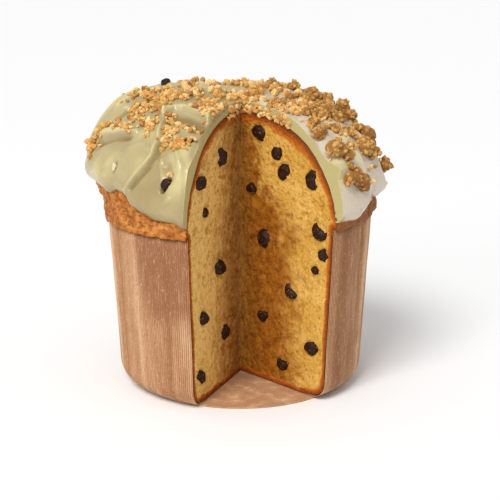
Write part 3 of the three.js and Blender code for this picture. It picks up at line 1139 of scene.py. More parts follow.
    def outside(self, share: np.ndarray, azimuth: np.ndarray) -> np.ndarray:
        """Points of the glaze's outer face.

        Args:
            share: Places on the outline, from the rim to the crown.
            azimuth: Their azimuths.

        Returns:
            The points, one row each.
        """
        share, azimuth = np.broadcast_arrays(np.asarray(share, float), np.asarray(azimuth, float))
        edge = self.edge_share(azimuth)
        climb = (share - edge) * self.outline_length
        round_off = np.sqrt(np.clip(1 - (1 - np.clip(climb / self.lip_reach, 0, 1)) ** 2, 0, 1))
        stand, middle, spread = self.bead
        bead = stand * np.exp(-(((climb - middle) / spread) ** 2))
        full = self.thickness_at(share, azimuth)
        lip = self.lip_thickness + (full - self.lip_thickness) * ramp(0, self.lip_end, climb)
        hole = self.tear_depth * self._torn(share, azimuth)
        height = self.clearance + (lip + bead) * round_off * (1 - hole)
        return self.dome.above(share, azimuth, height)

    def _torn(self, share: np.ndarray, azimuth: np.ndarray) -> np.ndarray:
        """How far the glaze is torn open at each place, 0 to 1.

        Args:
            share: Places on the outline, from the rim to the crown.
            azimuth: Their azimuths.

        Returns:
            One number for each place.
        """
        path = self.dome.crust(*np.array(self.tear)[:, ::-1].T)
        base = self.dome.crust(share, azimuth)
        distance = distance_to(base, path) + rough(base, 5, 2, 3) * 0.8
        return ramp(*self.tear_width, distance)

    def _ring(self) -> np.ndarray:
        """Shares of the cross-section's stations: down the inside, round the edge and up.

        Returns:
            The stations: below 0 on the inside, from 0 up on the outside.
        """
        inner = np.linspace(1, 0, self.inner_rows)[:-1] ** 0.9
        outer = np.linspace(0, 1, self.rows) ** 1.35
        return np.concatenate([[-1.0], -inner, outer])

    def build(self, material: bpy.types.Material) -> bpy.types.Object:
        """Makes the glaze.

        Args:
            material: The icing's material.

        Returns:
            The piece.
        """
        stations = self._ring()
        rows = len(stations) - 1
        across, along = Patch.spots(self.columns, rows)
        place = stations[np.rint(along * rows).astype(int)]
        azimuth = Side.RIGHT.value + FULL_TURN * across
        edge = self.edge_share(azimuth)
        share = edge + (1 - edge) * np.abs(place)
        inner = self.dome.above(share, azimuth, self.clearance)
        points = np.where((place < 0)[:, None], inner, self.outside(share, azimuth))
        top = np.array([0, 0, points[-1, 2]])
        points[(along == 0) | (along == 1)] = top  # both ends of the section meet at the crown
        creamy = between(self.white_side, turn(0, azimuth)) * ramp(0.93, 0.76, share)
        relief = self.thickness_at(share, azimuth) - self.thickness
        # Painted light: ridge paints highlight on the thick folds, furrow paints shade where the
        # glaze is thinner, and the patch below paints broad shade on the lower dome left of the
        # cut.
        painted_shade_patch = 0.4 * near(azimuth, -37, 14) * ramp(0.5, 0.34, share)
        fields = {
            "creamy": 0.9 * creamy + 0.1,
            "ridge": ramp(0.8, 3.4, relief) * ramp(1, 0.9, share),
            "furrow": np.maximum(ramp(-0.4, -2.6, relief), painted_shade_patch),
            "cut": np.zeros(len(points)),
        }
        shell = Patch(self.columns, rows, points, fields).laid()
        bmesh.ops.remove_doubles(shell, verts=shell.verts, dist=0.002 * MM)
        self._close_cut(shell)
        return make_piece("pistachio_glaze", shell, material)

    def _close_cut(self, shell: bmesh.types.BMesh) -> None:
        """Fills the glaze's two cut ends flat, with a crisp edge round each.

        Args:
            shell: The glaze, open at both ends of the cut.
        """
        ends: dict[Side, list[bmesh.types.BMEdge]] = {side: [] for side in Side}
        for edge in [edge for edge in shell.edges if edge.is_boundary]:
            tip = max(edge.verts, key=lambda vert: math.hypot(vert.co.x, vert.co.y)).co
            off = {side: abs(np.dot(side.normal, tip)) for side in Side}
            ends[min(off, key=off.get)].append(edge)
        layer = shell.verts.layers.float["cut"]
        for side, edges in ends.items():
            filled = bmesh.ops.contextual_create(shell, geom=edges)["faces"]
            for face in filled:
                face.normal_update()
                if np.dot(face.normal, side.normal) < 0:
                    face.normal_flip()
            bmesh.ops.inset_region(shell, faces=filled, thickness=0.25 * MM, use_even_offset=True)
            for vert in {vert for face in filled for vert in face.verts}:
                vert[layer] = 1.0
            for edge in edges:
                edge.smooth = False
            LOG.info("glaze: %s end filled with %d faces", side.name.lower(), len(filled))
        meeting = [vert for vert in shell.verts if vert.is_boundary]
        bmesh.ops.remove_doubles(shell, verts=meeting, dist=0.01 * MM)


@dataclass(frozen=True)
class FaceTone:
    """How a face of crumb differs from the other.

    Attributes:
        thicker: How much its crust is thicker from the rim up, in millimetres.
        reach: How far out from the middle the painted shade of the cut's deep corner goes, in
            millimetres.
        narrower: How much less far it goes above the rim.
        full: Part of that reach where the painted shade is at its darkest.
        pale: How much paler the face's crumb is painted, painted light that makes the left face
            lighter than the right.
    """

    thicker: float
    reach: float
    narrower: float
    full: float
    pale: float


@dataclass
class Loaf:
    """The baked dough: a crust all round, and two faces of crumb where it was cut.

    Attributes:
        case: Sizes of the case that it fills.
        dome: Its surface above the rim.
        columns: Faces round it.
        band_rows: Rings up the bare band of crust.
        crown_rows: Rings from there to the crown, under the glaze.
        face_columns: Faces from the middle to the rim, on a face of crumb.
        face_step: How far apart the points of a crumb face's outline are.
        wall_shares: Places up the case's wall that have a ring of the crust.
        lip_rings: Radius, and height over the rim, of the rings of the drooping lip.
        lip_depth: How far the lip's upper side stands out.
        droop: The lip's lowest place: azimuth, spread, amount, and how much it hangs elsewhere.
        wrinkled: Heights where the wrinkles begin, are full, start to fade and end.
        russet_side: The same, by azimuth, for the crust that baked to a russet brown.
        least_climb: Least rise from ring to ring along the cut.
        tones: How each face of crumb is coloured, its painted shade and painted light included.
    """

    case: CaseSizes
    dome: Dome
    columns: int = 300
    band_rows: int = 34
    crown_rows: int = 14
    face_columns: int = 136
    face_step: float = 1.05
    wall_shares: tuple[float, ...] = (0.0, 0.025, 0.05, 0.08, 0.105, 0.125, 0.4, 0.7, 0.97)
    lip_rings: tuple[tuple[float, float], ...] = (
        (79.6, 0.2), (80.6, -0.5), (81.3, -0.3), (81.9, 0.5), (82.1, 1.8),
    )
    lip_depth: float = 1.4
    droop: tuple[float, float, float, float] = (-95, 25, 3.0, 0.5)
    wrinkled: tuple[float, float, float, float] = (103.0, 106.5, 128, 140)
    russet_side: tuple[float, float, float, float] = (34, 48, 120, 150)
    least_climb: float = 0.05
    tones: dict[Side, FaceTone] = field(
        default_factory=lambda: {
            Side.LEFT: FaceTone(thicker=0.0, reach=54, narrower=10, full=-0.1, pale=1.25),
            Side.RIGHT: FaceTone(thicker=1.6, reach=62, narrower=44, full=0.45, pale=0.1),
        }
    )

    def _stations(self, azimuth: np.ndarray) -> np.ndarray:
        """Rings of the shell from the middle of the base to the crown.

        Args:
            azimuth: The azimuths of a ring's vertices.

        Returns:
            An array of rings by vertices by three.
        """
        gap, paper = self.case.gap, self.case.paper
        ones = np.ones(len(azimuth))
        base = [0, self.case.flange_radius - gap]
        rings = [polar(radius * ones, azimuth, (paper + gap) * ones) for radius in base]
        for share in self.wall_shares:
            radius, height = self.case.inside(share * ones, azimuth)
            rings.append(polar(radius - gap, azimuth, height + (gap if share < 0.1 else 0)))
        centre, spread, amount, least = self.droop
        hang = least + amount * near(azimuth, centre, spread)
        around = polar(80 * ones, azimuth, 0 * ones)
        hang = hang + 0.9 * rough(around, 9, 3, 5) + 0.8 * rough(around, 3.2, 2, 15)
        rim = self.case.rim(azimuth)
        for radius, lift in self.lip_rings:
            rings.append(polar(radius * ones, azimuth, rim + lift - hang * (radius > 80)))
        for share in np.linspace(0.03, 0.24, self.band_rows):
            rings.append(self.dome.crust(share * ones, azimuth) + self._lip(share, azimuth))
        for share in np.linspace(0.27, 1, self.crown_rows):
            rings.append(self.dome.crust(share * ones, azimuth))
        rings = np.array(rings)
        climb = self.least_climb * np.arange(len(rings) - 1)
        for end in (0, -1):  # where the knife went, the outline only climbs
            rings[1:, end, 2] = np.maximum.accumulate(rings[1:, end, 2] - climb) + climb
        rings[-1] = rings[-1, np.argmax(rings[-1, :, 2])]
        return rings

    def _lip(self, share: float, azimuth: np.ndarray) -> np.ndarray:
        """How far the crust's rounded lower edge stands out."""
        out = self.lip_depth * float(ramp(0.09, 0.03, share))
        return polar(out * np.ones(len(azimuth)), azimuth, 0 * azimuth)

    def _shell(self) -> Patch:
        """The crust all round, wrinkled where it shows.

        Returns:
            The shell's grid.
        """
        azimuth = Side.RIGHT.value + FULL_TURN * np.linspace(0, 1, self.columns + 1)
        rings = self._stations(azimuth)
        rows = len(rings) - 1
        points = rings.reshape(-1, 3)
        turned = np.tile(azimuth, rows + 1)
        out = polar(np.ones(len(points)), turned, np.zeros(len(points)))
        height = points[:, 2]
        shown = between(self.wrinkled, height)
        moved = np.nonzero(shown > 0)[0]
        flat = points[moved] * np.array([1, 1, 1.7])
        push = rough(flat, 11, 3, 1) * 0.9 + rough(flat, 3.2, 3, 2) * 0.75
        push -= 0.9 * pits(points[moved], 3.2, 0.45, 4)
        points[moved] += out[moved] * (push * shown[moved])[:, None]
        ones = np.ones(len(points))
        russet = between(self.russet_side, turn(0, turned))
        golden = ramp(5.5, 0.5, height - self.case.rim(turned) + 1.2 * rough(points, 6, 2, 8))
        fields = {
            "hollow": 0 * ones,
            "crust": 1 - 0.55 * golden,
            "outside": ones,
            # On the crust this field carries only the russet side, the crust's own colour.
            "painted_shade_and_russet": russet,
            "pale": 0 * ones,
        }
        return Patch(self.columns, rows, points, fields)

    def _face(self, side: Side, outline: np.ndarray, drops: Sequence[np.ndarray]) -> Patch:
        """One face of crumb, open-pored, inside the crust's outline.

        Args:
            side: Which face.
            outline: The shell's end, from the foot to the crown.
            drops: Centre and radius of each chocolate drop near the face.

        Returns:
            The face's grid.
        """
        radial = polar(np.ones(1), np.array([side.value]), np.zeros(1))[0]
        reach, height = self._evened(outline @ radial, outline[:, 2])
        rows = len(reach) - 1
        across, along = Patch.spots(self.face_columns, rows)
        row = np.rint(along * rows).astype(int)
        out, up = reach[row] * across, height[row]
        points = out[:, None] * radial + up[:, None] * np.array([0, 0, 1.0])
        rim = np.stack([reach, height], 1)
        flat = np.stack([out, up], 1)
        inset = np.minimum(distance_to(flat, rim), up - up.min())
        hollow = self._pores(points, inset, side)
        depth = 1.8 * hollow + 0.3 * (rough(points, 1.8, 3, 7) + 0.3)
        depth += 0.5 * rough(points, 14, 2, 9)
        unevenness = 0.6 + 0.6 * rough(points, 6, 1, 2)
        for centre, radius in drops:
            distance = np.linalg.norm(points - centre, axis=1)
            ring = np.exp(-(((distance - radius) / 0.9) ** 2)) * unevenness
            # The crumb round each drop is sunk and marked as a pore, so the finish paints it
            # darker: painted shade in the gap.
            depth += 1.1 * np.clip(ring, 0, 1)
            hollow = np.maximum(hollow, 0.7 * np.clip(ring, 0, 1))
        depth *= ramp(0, 1.6, inset) * ramp(0, 2.5, out)
        points -= side.normal * depth[:, None]
        tone = self.tones[side]
        thick = 4.0 + 3.2 * ramp(118, 150, up) + tone.thicker * ramp(95, 125, up)
        thick = thick * (1 + 0.35 * rough(points, 9, 2, 3))
        crust = np.clip(1 - inset / np.maximum(thick, 0.5), 0, 1)
        # Painted shade: the crumb darkens towards the deep corner of the cut, less far up high and
        # eased off right at the corner.
        reach = tone.reach - tone.narrower * ramp(95, 135, up)
        drift = 9 * rough(points, 15, 2, 11) + 7 * rough(points, 4.5, 3, 12)
        painted_shade_and_russet = ramp(1.0, tone.full, (out + drift) / reach)
        painted_shade_and_russet *= 1 - 0.32 * np.exp(-out / 9)
        fields = {
            "hollow": hollow,
            "crust": crust,
            "outside": 0 * out,
            "painted_shade_and_russet": painted_shade_and_russet,
            "pale": 0 * out + tone.pale,
        }
        return Patch(self.face_columns, rows, points, fields)

    def _evened(self, reach: np.ndarray, height: np.ndarray) -> tuple[np.ndarray, np.ndarray]:
        """An outline with points added wherever two are more than about a step apart.

        Args:
            reach: Distance of each point from the axis.
            height: Height of each point.

        Returns:
            The distances and heights with the added points.
        """
        steps = np.hypot(np.diff(reach), np.diff(height))
        parts = np.maximum(np.rint(steps / self.face_step), 1).astype(int)
        spots = [i + np.arange(count) / count for i, count in enumerate(parts)]
        spots = np.append(np.concatenate(spots), len(parts))
        knots = np.arange(len(reach))
        return np.interp(spots, knots, reach), np.interp(spots, knots, height)

    def _pores(self, points: np.ndarray, inset: np.ndarray, side: Side) -> np.ndarray:
        """Depth of the open pores of a crumb face, 0 to 1.

        Args:
            points: The face's vertices.
            inset: How far inside the crust each of them is.
            side: Which face.

        Returns:
            One depth for each vertex.
        """
        tall = points * np.array([1, 0.65, 1])
        warp = rough(points, 4, 2, 6)[:, None]
        small = pits(tall + warp * 0.5, 1.9, 0.6, 1 if side is Side.LEFT else 2)
        medium = pits(tall + warp * 1.3, 3.6, 0.5, 3)
        large = pits(tall + warp * 2.6, 8.0, 0.2, 5)
        open_crumb = ramp(1.5, 8, inset)
        whole = np.maximum(0.5 * small, np.maximum(0.75 * medium, large) * open_crumb)
        return np.clip(whole, 0, 1)

    def build(self, material: bpy.types.Material, drops: Sequence[str]) -> bpy.types.Object:
        """Makes the loaf.

        Args:
            material: The dough's material.
            drops: Names of the chocolate drops' nodes.

        Returns:
            The piece.
        """
        shell = self._shell()
        rings = shell.points.reshape(shell.rows + 1, self.columns + 1, 3)
        spheres = []
        for name in drops:
            low, high = (np.array(corner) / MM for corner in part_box(name))
            spheres.append(((low + high) / 2, 0.5 * float(np.median(high - low))))
        right = self._face(Side.RIGHT, rings[1:, 0], spheres)
        left = self._face(Side.LEFT, rings[1:, -1], spheres)
        parts = [patch.laid() for patch in (shell, right, left)]
        for number, part in enumerate(parts):
            layer = part.faces.layers.int.new("sheet")
            for face in part.faces:
                face[layer] = number
        whole = sewn(joined(parts))
        layer = whole.faces.layers.int["sheet"]
        for edge in whole.edges:  # the knife left crisp edges
            edge.smooth = len({face[layer] for face in edge.link_faces}) == 1
        whole.faces.layers.int.remove(layer)
        return make_piece("baked_loaf", whole, material)


@dataclass
class PaperCase:
    """The ribbed paper wall, cut away with the wedge, and the round sheet under it.

    Attributes:
        sizes: The case's sizes.
        ribs: How many ribs the wall has.
        steps_per_rib: Faces across each.
        rows: Faces up the wall, the foot and its flange included.
        foot_rows: How many of their rings are in the rounded foot.
        rib_depth: From the bottom of a rib to its top.
        paper: Thickness of the wall's paper.
        seam: Azimuth, half width and thickness of the lap seam.
        pleats: Azimuth, spread and amount of each soft pleat, outwards or inwards.
    """

    sizes: CaseSizes
    ribs: int = 288
    steps_per_rib: int = 4
    rows: int = 22
    foot_rows: int = 8
    rib_depth: float = 0.6
    paper: float = 0.3
    seam: tuple[float, float, float] = (180, 5.5, 0.35)
    pleats: tuple[tuple[float, float, float], ...] = (
        (-76, 2.4, 0.9), (-66, 1.6, -0.6), (-51, 2.2, 0.6), (-33, 2.0, -0.6), (56, 2.4, 1.0),
        (66, 2.0, -0.8), (72, 2.4, 1.1), (84, 3.0, -0.8), (112, 2.6, 0.9), (147, 3.0, -0.7),
        (-152, 2.6, 0.8), (-118, 2.4, -0.8), (-100, 2.6, 0.9),
    )

    def wall(self, material: bpy.types.Material) -> bpy.types.Object:
        """Makes the wall, with its turned-in foot and its lap seam at the back.

        Args:
            material: The paper's material.

        Returns:
            The piece.
        """
        columns = self.ribs * self.steps_per_rib
        across, along = Patch.spots(columns, self.rows)
        azimuth = Side.RIGHT.value + FULL_TURN * across
        foot = np.linspace(0, self.sizes.foot_share, self.foot_rows)
        shares = np.concatenate([[-0.06], foot, np.linspace(0.16, 1, self.rows - self.foot_rows)])
        share = shares[np.rint(along * self.rows).astype(int)]
        radius, height = self.sizes.inside(np.maximum(share, 0), azimuth)
        radius = np.where(share < 0, self.sizes.flange_radius, radius)
        upright = ramp(0.03, 0.13, share)
        wave = np.cos(2 * np.pi * across * self.ribs)
        out = upright * (0.5 + 0.5 * self.rib_depth * wave)
        folded = sum(amount * near(azimuth, at, spread) for at, spread, amount in self.pleats)
        out = out + 0.7 * folded * upright * ramp(0.1, 0.5, share)
        seam_at, half_width, lap = self.seam
        seam = np.abs(turn(seam_at, azimuth)) < half_width
        out = out + lap * seam * upright
        rim_wave = rough(polar(radius, azimuth, np.zeros(len(share))), 14, 2, 3) * 0.4
        height = height - 0.45 * (1 - upright) + rim_wave * ramp(0.85, 1, share)
        points = polar(radius + out, azimuth, height)
        soft = rough(points, 38, 2, 12) * 0.5 * upright * ramp(1.05, 0.8, share)
        points += polar(soft, azimuth, np.zeros(len(share)))
        # The groove and pleat fields feed painted shade and painted highlight in the paper's
        # finish; grease marks butter stains.
        groove = np.clip(0.5 - 0.5 * wave, 0, 1) ** 2 * ramp(0.02, 0.1, share)
        grease = near(azimuth, -32, 19) * ramp(30, 85, height) + 0.55 * near(azimuth, 54, 11)
        fields = {"groove": groove, "grease": grease, "pleat": 0.5 + 0.5 * np.clip(folded, -1, 1)}
        wall = Patch(columns, self.rows, points, fields).laid()
        piece = make_piece("ribbed_case_wall", wall, material)
        sheet = piece.modifiers.new("paper", "SOLIDIFY")
        sheet.thickness, sheet.offset = self.paper * MM, 0.0
        return piece

    def floor(self, material: bpy.types.Material) -> bpy.types.Object:
        """Makes the floor sheet, with its cut edge slightly rounded.

        Args:
            material: The paper's material.

        Returns:
            The piece.
        """
        bm = bmesh.new()
        bmesh.ops.create_cone(
            bm,
            cap_ends=True,
            segments=160,
            radius1=self.sizes.floor_radius * MM,
            radius2=self.sizes.floor_radius * MM,
            depth=self.sizes.paper * MM,
        )
        bmesh.ops.translate(bm, verts=bm.verts, vec=(0, 0, self.sizes.paper * MM / 2))
        rim = [edge for edge in bm.edges if edge.calc_face_angle(0) > 1]
        bmesh.ops.bevel(
            bm, geom=rim, offset=0.2 * MM, segments=2, profile=0.5, affect="EDGES", material=-1
        )
        layers = {name: bm.verts.layers.float.new(name) for name in ("groove", "grease", "pleat")}
        for vert in bm.verts:
            vert[layers["pleat"]] = 0.5
        piece = make_piece("case_floor_sheet", bm, material)
        for polygon in piece.data.polygons:
            polygon.use_smooth = abs(polygon.normal.z) < 0.99
        return piece


@dataclass
class Drops:
    """The chocolate drops, rounded, and flat only where the knife went through them."""

    roughness: float = 0.7
    lumps: float = 3.4

    def build(self, material: bpy.types.Material, names: Sequence[str]) -> bpy.types.Object:
        """Makes every drop from its node, as one piece.

        Args:
            material: The chocolate's material.
            names: The drops' nodes.

        Returns:
            The piece.
        """
        parts = [
            worked(cad_copy(name), self.roughness, self.lumps, seed)
            for seed, name in enumerate(names)
        ]
        return make_piece("chocolate_drops", joined(parts), material)


@dataclass
class Shower:
    """A patch of fine crumbs on the glaze.

    Attributes:
        azimuth: Its middle.
        share: Its middle, on the dome's outline.
        turn: How far it spreads round the dome, in degrees.
        run: How far it spreads up and down, as a share.
        count: How many crumbs.
        size: Their least and largest size.
    """

    azimuth: float
    share: float
    turn: float
    run: float
    count: int
    size: tuple[float, float]


@dataclass
class Crumble:
    """Baked crumble: large clusters from their nodes, and fine crumbs strewn between them.

    Attributes:
        icing: The glaze that it lies on.
        showers: The patches of fine crumbs.
        heap: Azimuth, share, size and lift of the smaller lumps between the clusters.
        spilt: The end of the cut, lowest share and count of the crumbs caught on it.
        bare: How much of the glaze is left bare inside a wide shower, -1 to 1.
        wide: Shower.turn from which a shower has bare places.
        highest: Greatest share that a fine crumb may have.
        roughness: How far a cluster's surface is moved.
        lumps: Size of its bumps.
        knobs: How far its round grains stand out.
        growth: How much larger than its node a cluster is made.
        seed: Picks where the fine crumbs fall.
    """

    icing: Icing
    showers: tuple[Shower, ...] = (
        Shower(-97, 0.262, 3, 0.01, 10, (2.0, 3.6)), Shower(-89, 0.285, 3, 0.016, 20, (2.0, 3.8)),
        Shower(-87, 0.335, 3, 0.02, 16, (2.0, 3.6)), Shower(-90, 0.371, 2, 0.012, 8, (1.8, 3.2)),
        Shower(-85, 0.425, 3, 0.014, 14, (1.8, 3.4)), Shower(-79, 0.44, 3, 0.012, 10, (1.6, 3.0)),
        Shower(-71.4, 0.441, 2, 0.012, 12, (1.8, 3.4)),
        Shower(-77.8, 0.497, 5, 0.014, 22, (1.6, 3.6)),
        Shower(-88, 0.495, 3, 0.014, 12, (1.6, 3.2)),
        Shower(-83, 0.552, 5, 0.016, 24, (1.8, 3.8)), Shower(-64, 0.529, 2, 0.014, 9, (2.6, 4.6)),
        Shower(-60, 0.497, 2, 0.012, 10, (1.8, 3.4)), Shower(-66, 0.6, 6, 0.02, 26, (1.8, 3.6)),
        Shower(-57, 0.459, 1.6, 0.01, 6, (1.4, 2.6)),
        Shower(-47.5, 0.509, 3, 0.014, 16, (1.8, 3.8)),
        Shower(-42.5, 0.522, 3, 0.014, 14, (1.6, 3.4)),
        Shower(-44, 0.467, 2, 0.01, 9, (1.8, 3.4)), Shower(-40, 0.43, 2, 0.01, 9, (1.8, 3.2)),
        Shower(-33, 0.44, 3.2, 0.012, 26, (1.8, 3.8)),
        Shower(-28, 0.455, 2.6, 0.016, 24, (1.8, 3.8)),
        Shower(-38, 0.56, 5, 0.02, 18, (1.8, 3.6)),
        Shower(-29.4, 0.277, 0.8, 0.006, 5, (1.6, 2.8)),
        Shower(-64.2, 0.276, 0.3, 0.006, 2, (1.4, 1.9)),
        Shower(-97, 0.5, 3, 0.02, 12, (2.0, 3.8)), Shower(-97, 0.56, 4, 0.02, 26, (2.0, 3.8)),
        Shower(-100, 0.62, 5, 0.02, 26, (2.0, 4.0)), Shower(-88, 0.66, 12, 0.05, 84, (1.8, 4.2)),
        Shower(-60, 0.79, 30, 0.06, 120, (1.6, 4.2)), Shower(-34, 0.8, 20, 0.06, 84, (1.6, 4.0)),
        Shower(-27, 0.7, 4, 0.05, 26, (1.6, 3.4)), Shower(52, 0.74, 10, 0.07, 44, (1.8, 4.2)),
        Shower(48, 0.5, 3, 0.05, 18, (1.8, 3.6)), Shower(72, 0.62, 18, 0.1, 80, (1.8, 4.4)),
        Shower(100, 0.6, 26, 0.14, 120, (1.8, 4.6)), Shower(58, 0.42, 8, 0.08, 26, (1.6, 3.6)),
        Shower(90, 0.36, 20, 0.12, 36, (1.6, 3.6)), Shower(140, 0.66, 34, 0.14, 150, (2.2, 5.6)),
        Shower(-160, 0.7, 34, 0.12, 120, (2.2, 5.8)), Shower(-118, 0.7, 22, 0.08, 90, (2.0, 5.2)),
        Shower(140, 0.36, 30, 0.12, 40, (1.6, 3.4)), Shower(-150, 0.42, 34, 0.12, 40, (1.6, 3.2)),
        Shower(0, 0.93, 180, 0.05, 105, (1.6, 4.2)),
    )
    heap: tuple[tuple[float, float, float, float], ...] = (
        (112, 0.55, 9.0, 4.5), (104, 0.56, 8.0, 3.5), (120, 0.6, 7.5, 3.0), (106, 0.49, 8.0, 5.0),
        (100, 0.45, 7.5, 4.5), (96, 0.54, 7.0, 3.0), (132, 0.65, 6.0, 3.0), (150, 0.68, 6.0, 1.2),
        (86, 0.62, 6.5, 3.0),
    )
    spilt: tuple[tuple[Side, float, int], ...] = ((Side.LEFT, 0.82, 30), (Side.RIGHT, 0.63, 64))
    bare: float = -0.06
    wide: float = 9.0
    highest: float = 0.985
    roughness: float = 0.8
    lumps: float = 2.2
    knobs: float = 1.1
    growth: float = 1.1
    seed: int = 7

    def clusters(self, material: bpy.types.Material, names: Sequence[str]) -> bpy.types.Object:
        """Makes the large clusters from their nodes, knobbly and sandy.

        Args:
            material: The crumble's material.
            names: The clusters' nodes.

        Returns:
            The piece.
        """
        parts = [self._lump(cad_copy(name), seed) for seed, name in enumerate(names)]
        dice = random.Random(self.seed + 1)
        for seed, (azimuth, share, size, lift) in enumerate(self.heap, len(names)):
            lump = bmesh.new()
            bmesh.ops.create_icosphere(lump, subdivisions=2, radius=size / 2 * MM)
            stretch = Vector([dice.uniform(0.8, 1.25) for _ in range(3)])
            bmesh.ops.scale(lump, verts=lump.verts, vec=stretch)
            place = self.icing.outside(np.array([share]), np.array([azimuth]))[0]
            place += self.icing.dome.normal(np.array([share]), np.array([azimuth]))[0] * lift
            bmesh.ops.translate(lump, verts=lump.verts, vec=Vector(place) * MM)
            parts.append(self._lump(lump, seed))
        return make_piece("crumble_clusters", joined(parts), material)

    def _lump(self, lump: bmesh.types.BMesh, seed: int) -> bmesh.types.BMesh:
        """Makes a lump of crumble knobbly and a little larger, and tints it.

        Args:
            lump: The lump, in metres.
            seed: Picks its roughness and its tone.

        Returns:
            The same bmesh.
        """
        lump = worked(lump, self.roughness, self.lumps, 40 + seed, self.knobs)
        middle = sum((vert.co for vert in lump.verts), Vector()) / len(lump.verts)
        grow = Matrix.Scale(self.growth, 4)
        about = Matrix.Translation(-middle)
        bmesh.ops.transform(lump, matrix=grow, space=about, verts=lump.verts)
        self._tint(lump, 0.34 + 0.5 * ((seed * 0.618) % 1))
        return lump

    def fine(self, material: bpy.types.Material) -> bpy.types.Object:
        """Strews the fine crumbs, the same way each time.

        Args:
            material: The crumble's material.

        Returns:
            The piece.
        """
        dice = random.Random(self.seed)
        spots = []
        for shower in self.showers:
            for _ in range(shower.count):
                azimuth = shower.azimuth + self._throw(dice, shower.turn)
                share = min(shower.share + self._throw(dice, shower.run), self.highest)
                wide = shower.turn > self.wide
                spots.append((azimuth, share, dice.uniform(*shower.size), wide))
        spots = [spot for spot in spots if self._on_glaze(*spot[:3])]
        azimuths, shares, sizes, wide = (np.array(column) for column in zip(*spots))
        seats = self.icing.outside(shares, azimuths)
        gathered = (rough(seats, 13, 2, 21) > self.bare) | (wide < 0.5)
        azimuths, shares, sizes = azimuths[gathered], shares[gathered], sizes[gathered]
        seats = seats[gathered]
        seats += self.icing.dome.normal(shares, azimuths) * (sizes * 0.26)[:, None]
        spilt, spilt_sizes = self._spilt(dice)
        seats, sizes = np.concatenate([seats, spilt]), np.concatenate([sizes, spilt_sizes])
        parts = []
        for seat, size in zip(seats, sizes):
            crumb = bmesh.new()
            stance = Euler([dice.uniform(0, 6.28) for _ in range(3)]).to_matrix().to_4x4()
            stretch = Matrix.Diagonal((*(size * dice.uniform(0.38, 0.62) for _ in range(3)), 1.0))
            bmesh.ops.create_icosphere(crumb, subdivisions=1, radius=1.0, matrix=stance @ stretch)
            for vert in crumb.verts:
                vert.co = (vert.co * dice.uniform(0.64, 1.36) + Vector(seat)) * MM
            self._tint(crumb, dice.uniform(0.0, 1.0) ** 1.5)
            parts.append(crumb)
        piece = make_piece("fine_crumbs", joined(parts), material)
        piece.data.shade_flat()
        return piece

    def _spilt(self, dice: random.Random) -> tuple[np.ndarray, np.ndarray]:
        """Crumbs caught on the cut, over the tip where the glaze broke.

        Args:
            dice: Where the chances come from.

        Returns:
            Their places and their sizes.
        """
        places, sizes = [], []
        for side, lowest, count in self.spilt:
            for _ in range(count):
                share = np.array([dice.uniform(lowest, 0.99)])
                place = self.icing.outside(share, np.array([side.value]))[0]
                place[2] -= dice.uniform(0, 6.5)
                places.append(place + side.normal * dice.uniform(-0.4, 0.9))
                sizes.append(dice.uniform(1.6, 3.8))
        return np.array(places), np.array(sizes)

    @staticmethod
    def _throw(dice: random.Random, spread: float) -> float:
        """A random step, rarely more than twice the spread."""
        return min(max(dice.gauss(0, spread), -2.2 * spread), 2.2 * spread)

    @staticmethod
    def _on_glaze(azimuth: float, share: float, size: float) -> bool:
        """Whether a crumb of that size has glaze under it and is clear of the cut.

        Args:
            azimuth: The crumb's azimuth.
            share: Its place on the outline.
            size: Its size.

        Returns:
            Whether it may lie there.
        """
        low, high = (float(turn(side.value, azimuth)) for side in Side)
        in_cut = 0 < low and high < 0
        distance = 80 * (1 - share) * math.radians(min(abs(low), abs(high)))
        return not in_cut and distance > 0.2 * size

    @staticmethod
    def _tint(bm: bmesh.types.BMesh, tone: float) -> None:
        """Gives a crumb its tone, from pale to dark.

        Args:
            bm: The crumb's mesh.
            tone: 0 for pale, 1 for dark.
        """
        layer = bm.verts.layers.float.new("tone")
        for vert in bm.verts:
            vert[layer] = tone


# ------------------------------------------------------------------------------ studio


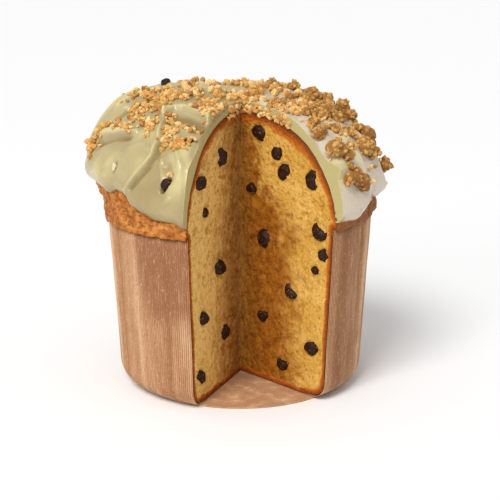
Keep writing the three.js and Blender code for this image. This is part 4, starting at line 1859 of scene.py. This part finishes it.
@dataclass
class Studio:
    """A plain pale floor, soft lights and the camera.

    Attributes:
        distance: From the axis to the camera, along the floor, in metres.
        eye_height: Height of the camera, in metres.
        pitch: How far it looks down, in degrees.
        yaw: How far it looks to its right, in degrees.
        lens: Its focal length, in millimetres.
        sensor: Width of its sensor, in millimetres.
        sky: Strength of the light from all round.
    """

    distance: float = 0.970
    eye_height: float = 0.35225
    pitch: float = 15.728
    yaw: float = 0.348
    lens: float = 118.4
    sensor: float = 36.0
    sky: float = 0.6

    def camera(self) -> None:
        """Makes the camera and gives it to the scene."""
        data = bpy.data.cameras.new("camera")
        data.lens, data.sensor_width = self.lens, self.sensor
        camera = bpy.data.objects.new("camera", data)
        camera.location = (0, -self.distance, self.eye_height)
        camera.rotation_euler = (math.radians(90 - self.pitch), 0, math.radians(-self.yaw))
        bpy.context.scene.collection.objects.link(camera)
        bpy.context.scene.camera = camera

    def light(
        self, name: str, place: Sequence[float], size: float, watts: float, tint: Colour
    ) -> None:
        """Hangs a square soft light that faces the loaf.

        Args:
            name: The light's name.
            place: Where it hangs, in metres.
            size: Length of its side, in metres.
            watts: Its power.
            tint: Its colour.
        """
        data = bpy.data.lights.new(name, "AREA")
        data.shape, data.size, data.energy, data.color = "SQUARE", size, watts, tint
        lamp = bpy.data.objects.new(name, data)
        lamp.location = place
        aim = Vector((0, 0, 0.1)) - Vector(place)
        lamp.rotation_euler = aim.to_track_quat("-Z", "Y").to_euler()
        bpy.context.scene.collection.objects.link(lamp)

    def sun(self, azimuth: float, elevation: float, softness: float, strength: float) -> None:
        """Adds the broad key light, from an azimuth and an elevation.

        Args:
            azimuth: Degrees from the front, where it stands.
            elevation: Degrees over the floor.
            softness: How wide it looks, in degrees.
            strength: How bright it is.
        """
        data = bpy.data.lights.new("key", "SUN")
        data.energy, data.angle = strength, math.radians(softness)
        lamp = bpy.data.objects.new("key", data)
        lamp.rotation_euler = (math.radians(90 - elevation), 0, math.radians(azimuth))
        bpy.context.scene.collection.objects.link(lamp)

    def floor(self) -> bpy.types.Object:
        """Lays the floor.

        Returns:
            The floor.
        """
        s = Shader("studio_floor")
        tone = s.grain(900, 1, 0.5)
        colour = s.blend(tone * 0.15, (0.9, 0.9, 0.9), (0.86, 0.86, 0.86))
        material = s.dress(Base_Color=colour, Roughness=0.7)
        bm = bmesh.new()
        bmesh.ops.create_grid(bm, x_segments=4, y_segments=4, size=30.0)
        bmesh.ops.translate(bm, verts=bm.verts, vec=(0, 0, -0.1 * MM))
        mesh = bpy.data.meshes.new("studio_floor")
        bm.to_mesh(mesh)
        bm.free()
        mesh.materials.append(material)
        floor = bpy.data.objects.new("studio_floor", mesh)
        bpy.context.scene.collection.objects.link(floor)
        return floor

    def build(self) -> None:
        """Sets the whole studio up."""
        scene = bpy.context.scene
        scene.view_settings.view_transform = "Standard"
        world = bpy.data.worlds.new("studio")
        world.use_nodes = True
        sky = world.node_tree.nodes["Background"]
        sky.inputs["Color"].default_value = (1.0, 1.0, 1.0, 1.0)
        sky.inputs["Strength"].default_value = self.sky
        scene.world = world
        self.camera()
        self.sun(azimuth=-24, elevation=50, softness=24, strength=2.1)
        self.light("gloss", (-0.55, -0.75, 0.62), size=0.3, watts=2.0, tint=(1.0, 0.99, 0.97))
        self.floor()


def main() -> None:
    """Builds every piece in turn and reports it."""
    logging.basicConfig(level=logging.INFO, format="%(name)s: %(message)s")
    Studio().build()
    case = CaseSizes()
    dome = Dome(case)
    icing = Icing(dome)
    drops = nodes_named("chocolate_drop")
    clusters = nodes_named("crumble")
    paper = KraftPaper().material()
    crumble_finish = ButterCrumble().material()
    paper_case = PaperCase(case)
    crumble = Crumble(icing)
    made = (
        (paper_case.wall(paper), ["case_wall"], "paper"),
        (paper_case.floor(paper), ["case_floor"], "paper"),
        (Loaf(case, dome).build(BakedDough().material(), drops), ["loaf"], "crumb"),
        (icing.build(PistachioIcing().material()), ["glaze"], "glaze"),
        (Drops().build(DarkChocolate().material(), drops), drops, "chocolate"),
        (crumble.clusters(crumble_finish, clusters), clusters, "crumble"),
        (crumble.fine(crumble_finish), [], "crumble"),
    )
    for piece, nodes, slot in made:
        if nodes:
            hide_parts(*nodes)
        LOG.info("%s: %d faces, for %d nodes", piece.name, len(piece.data.polygons), len(nodes))


if __name__ == "__main__":
    main()
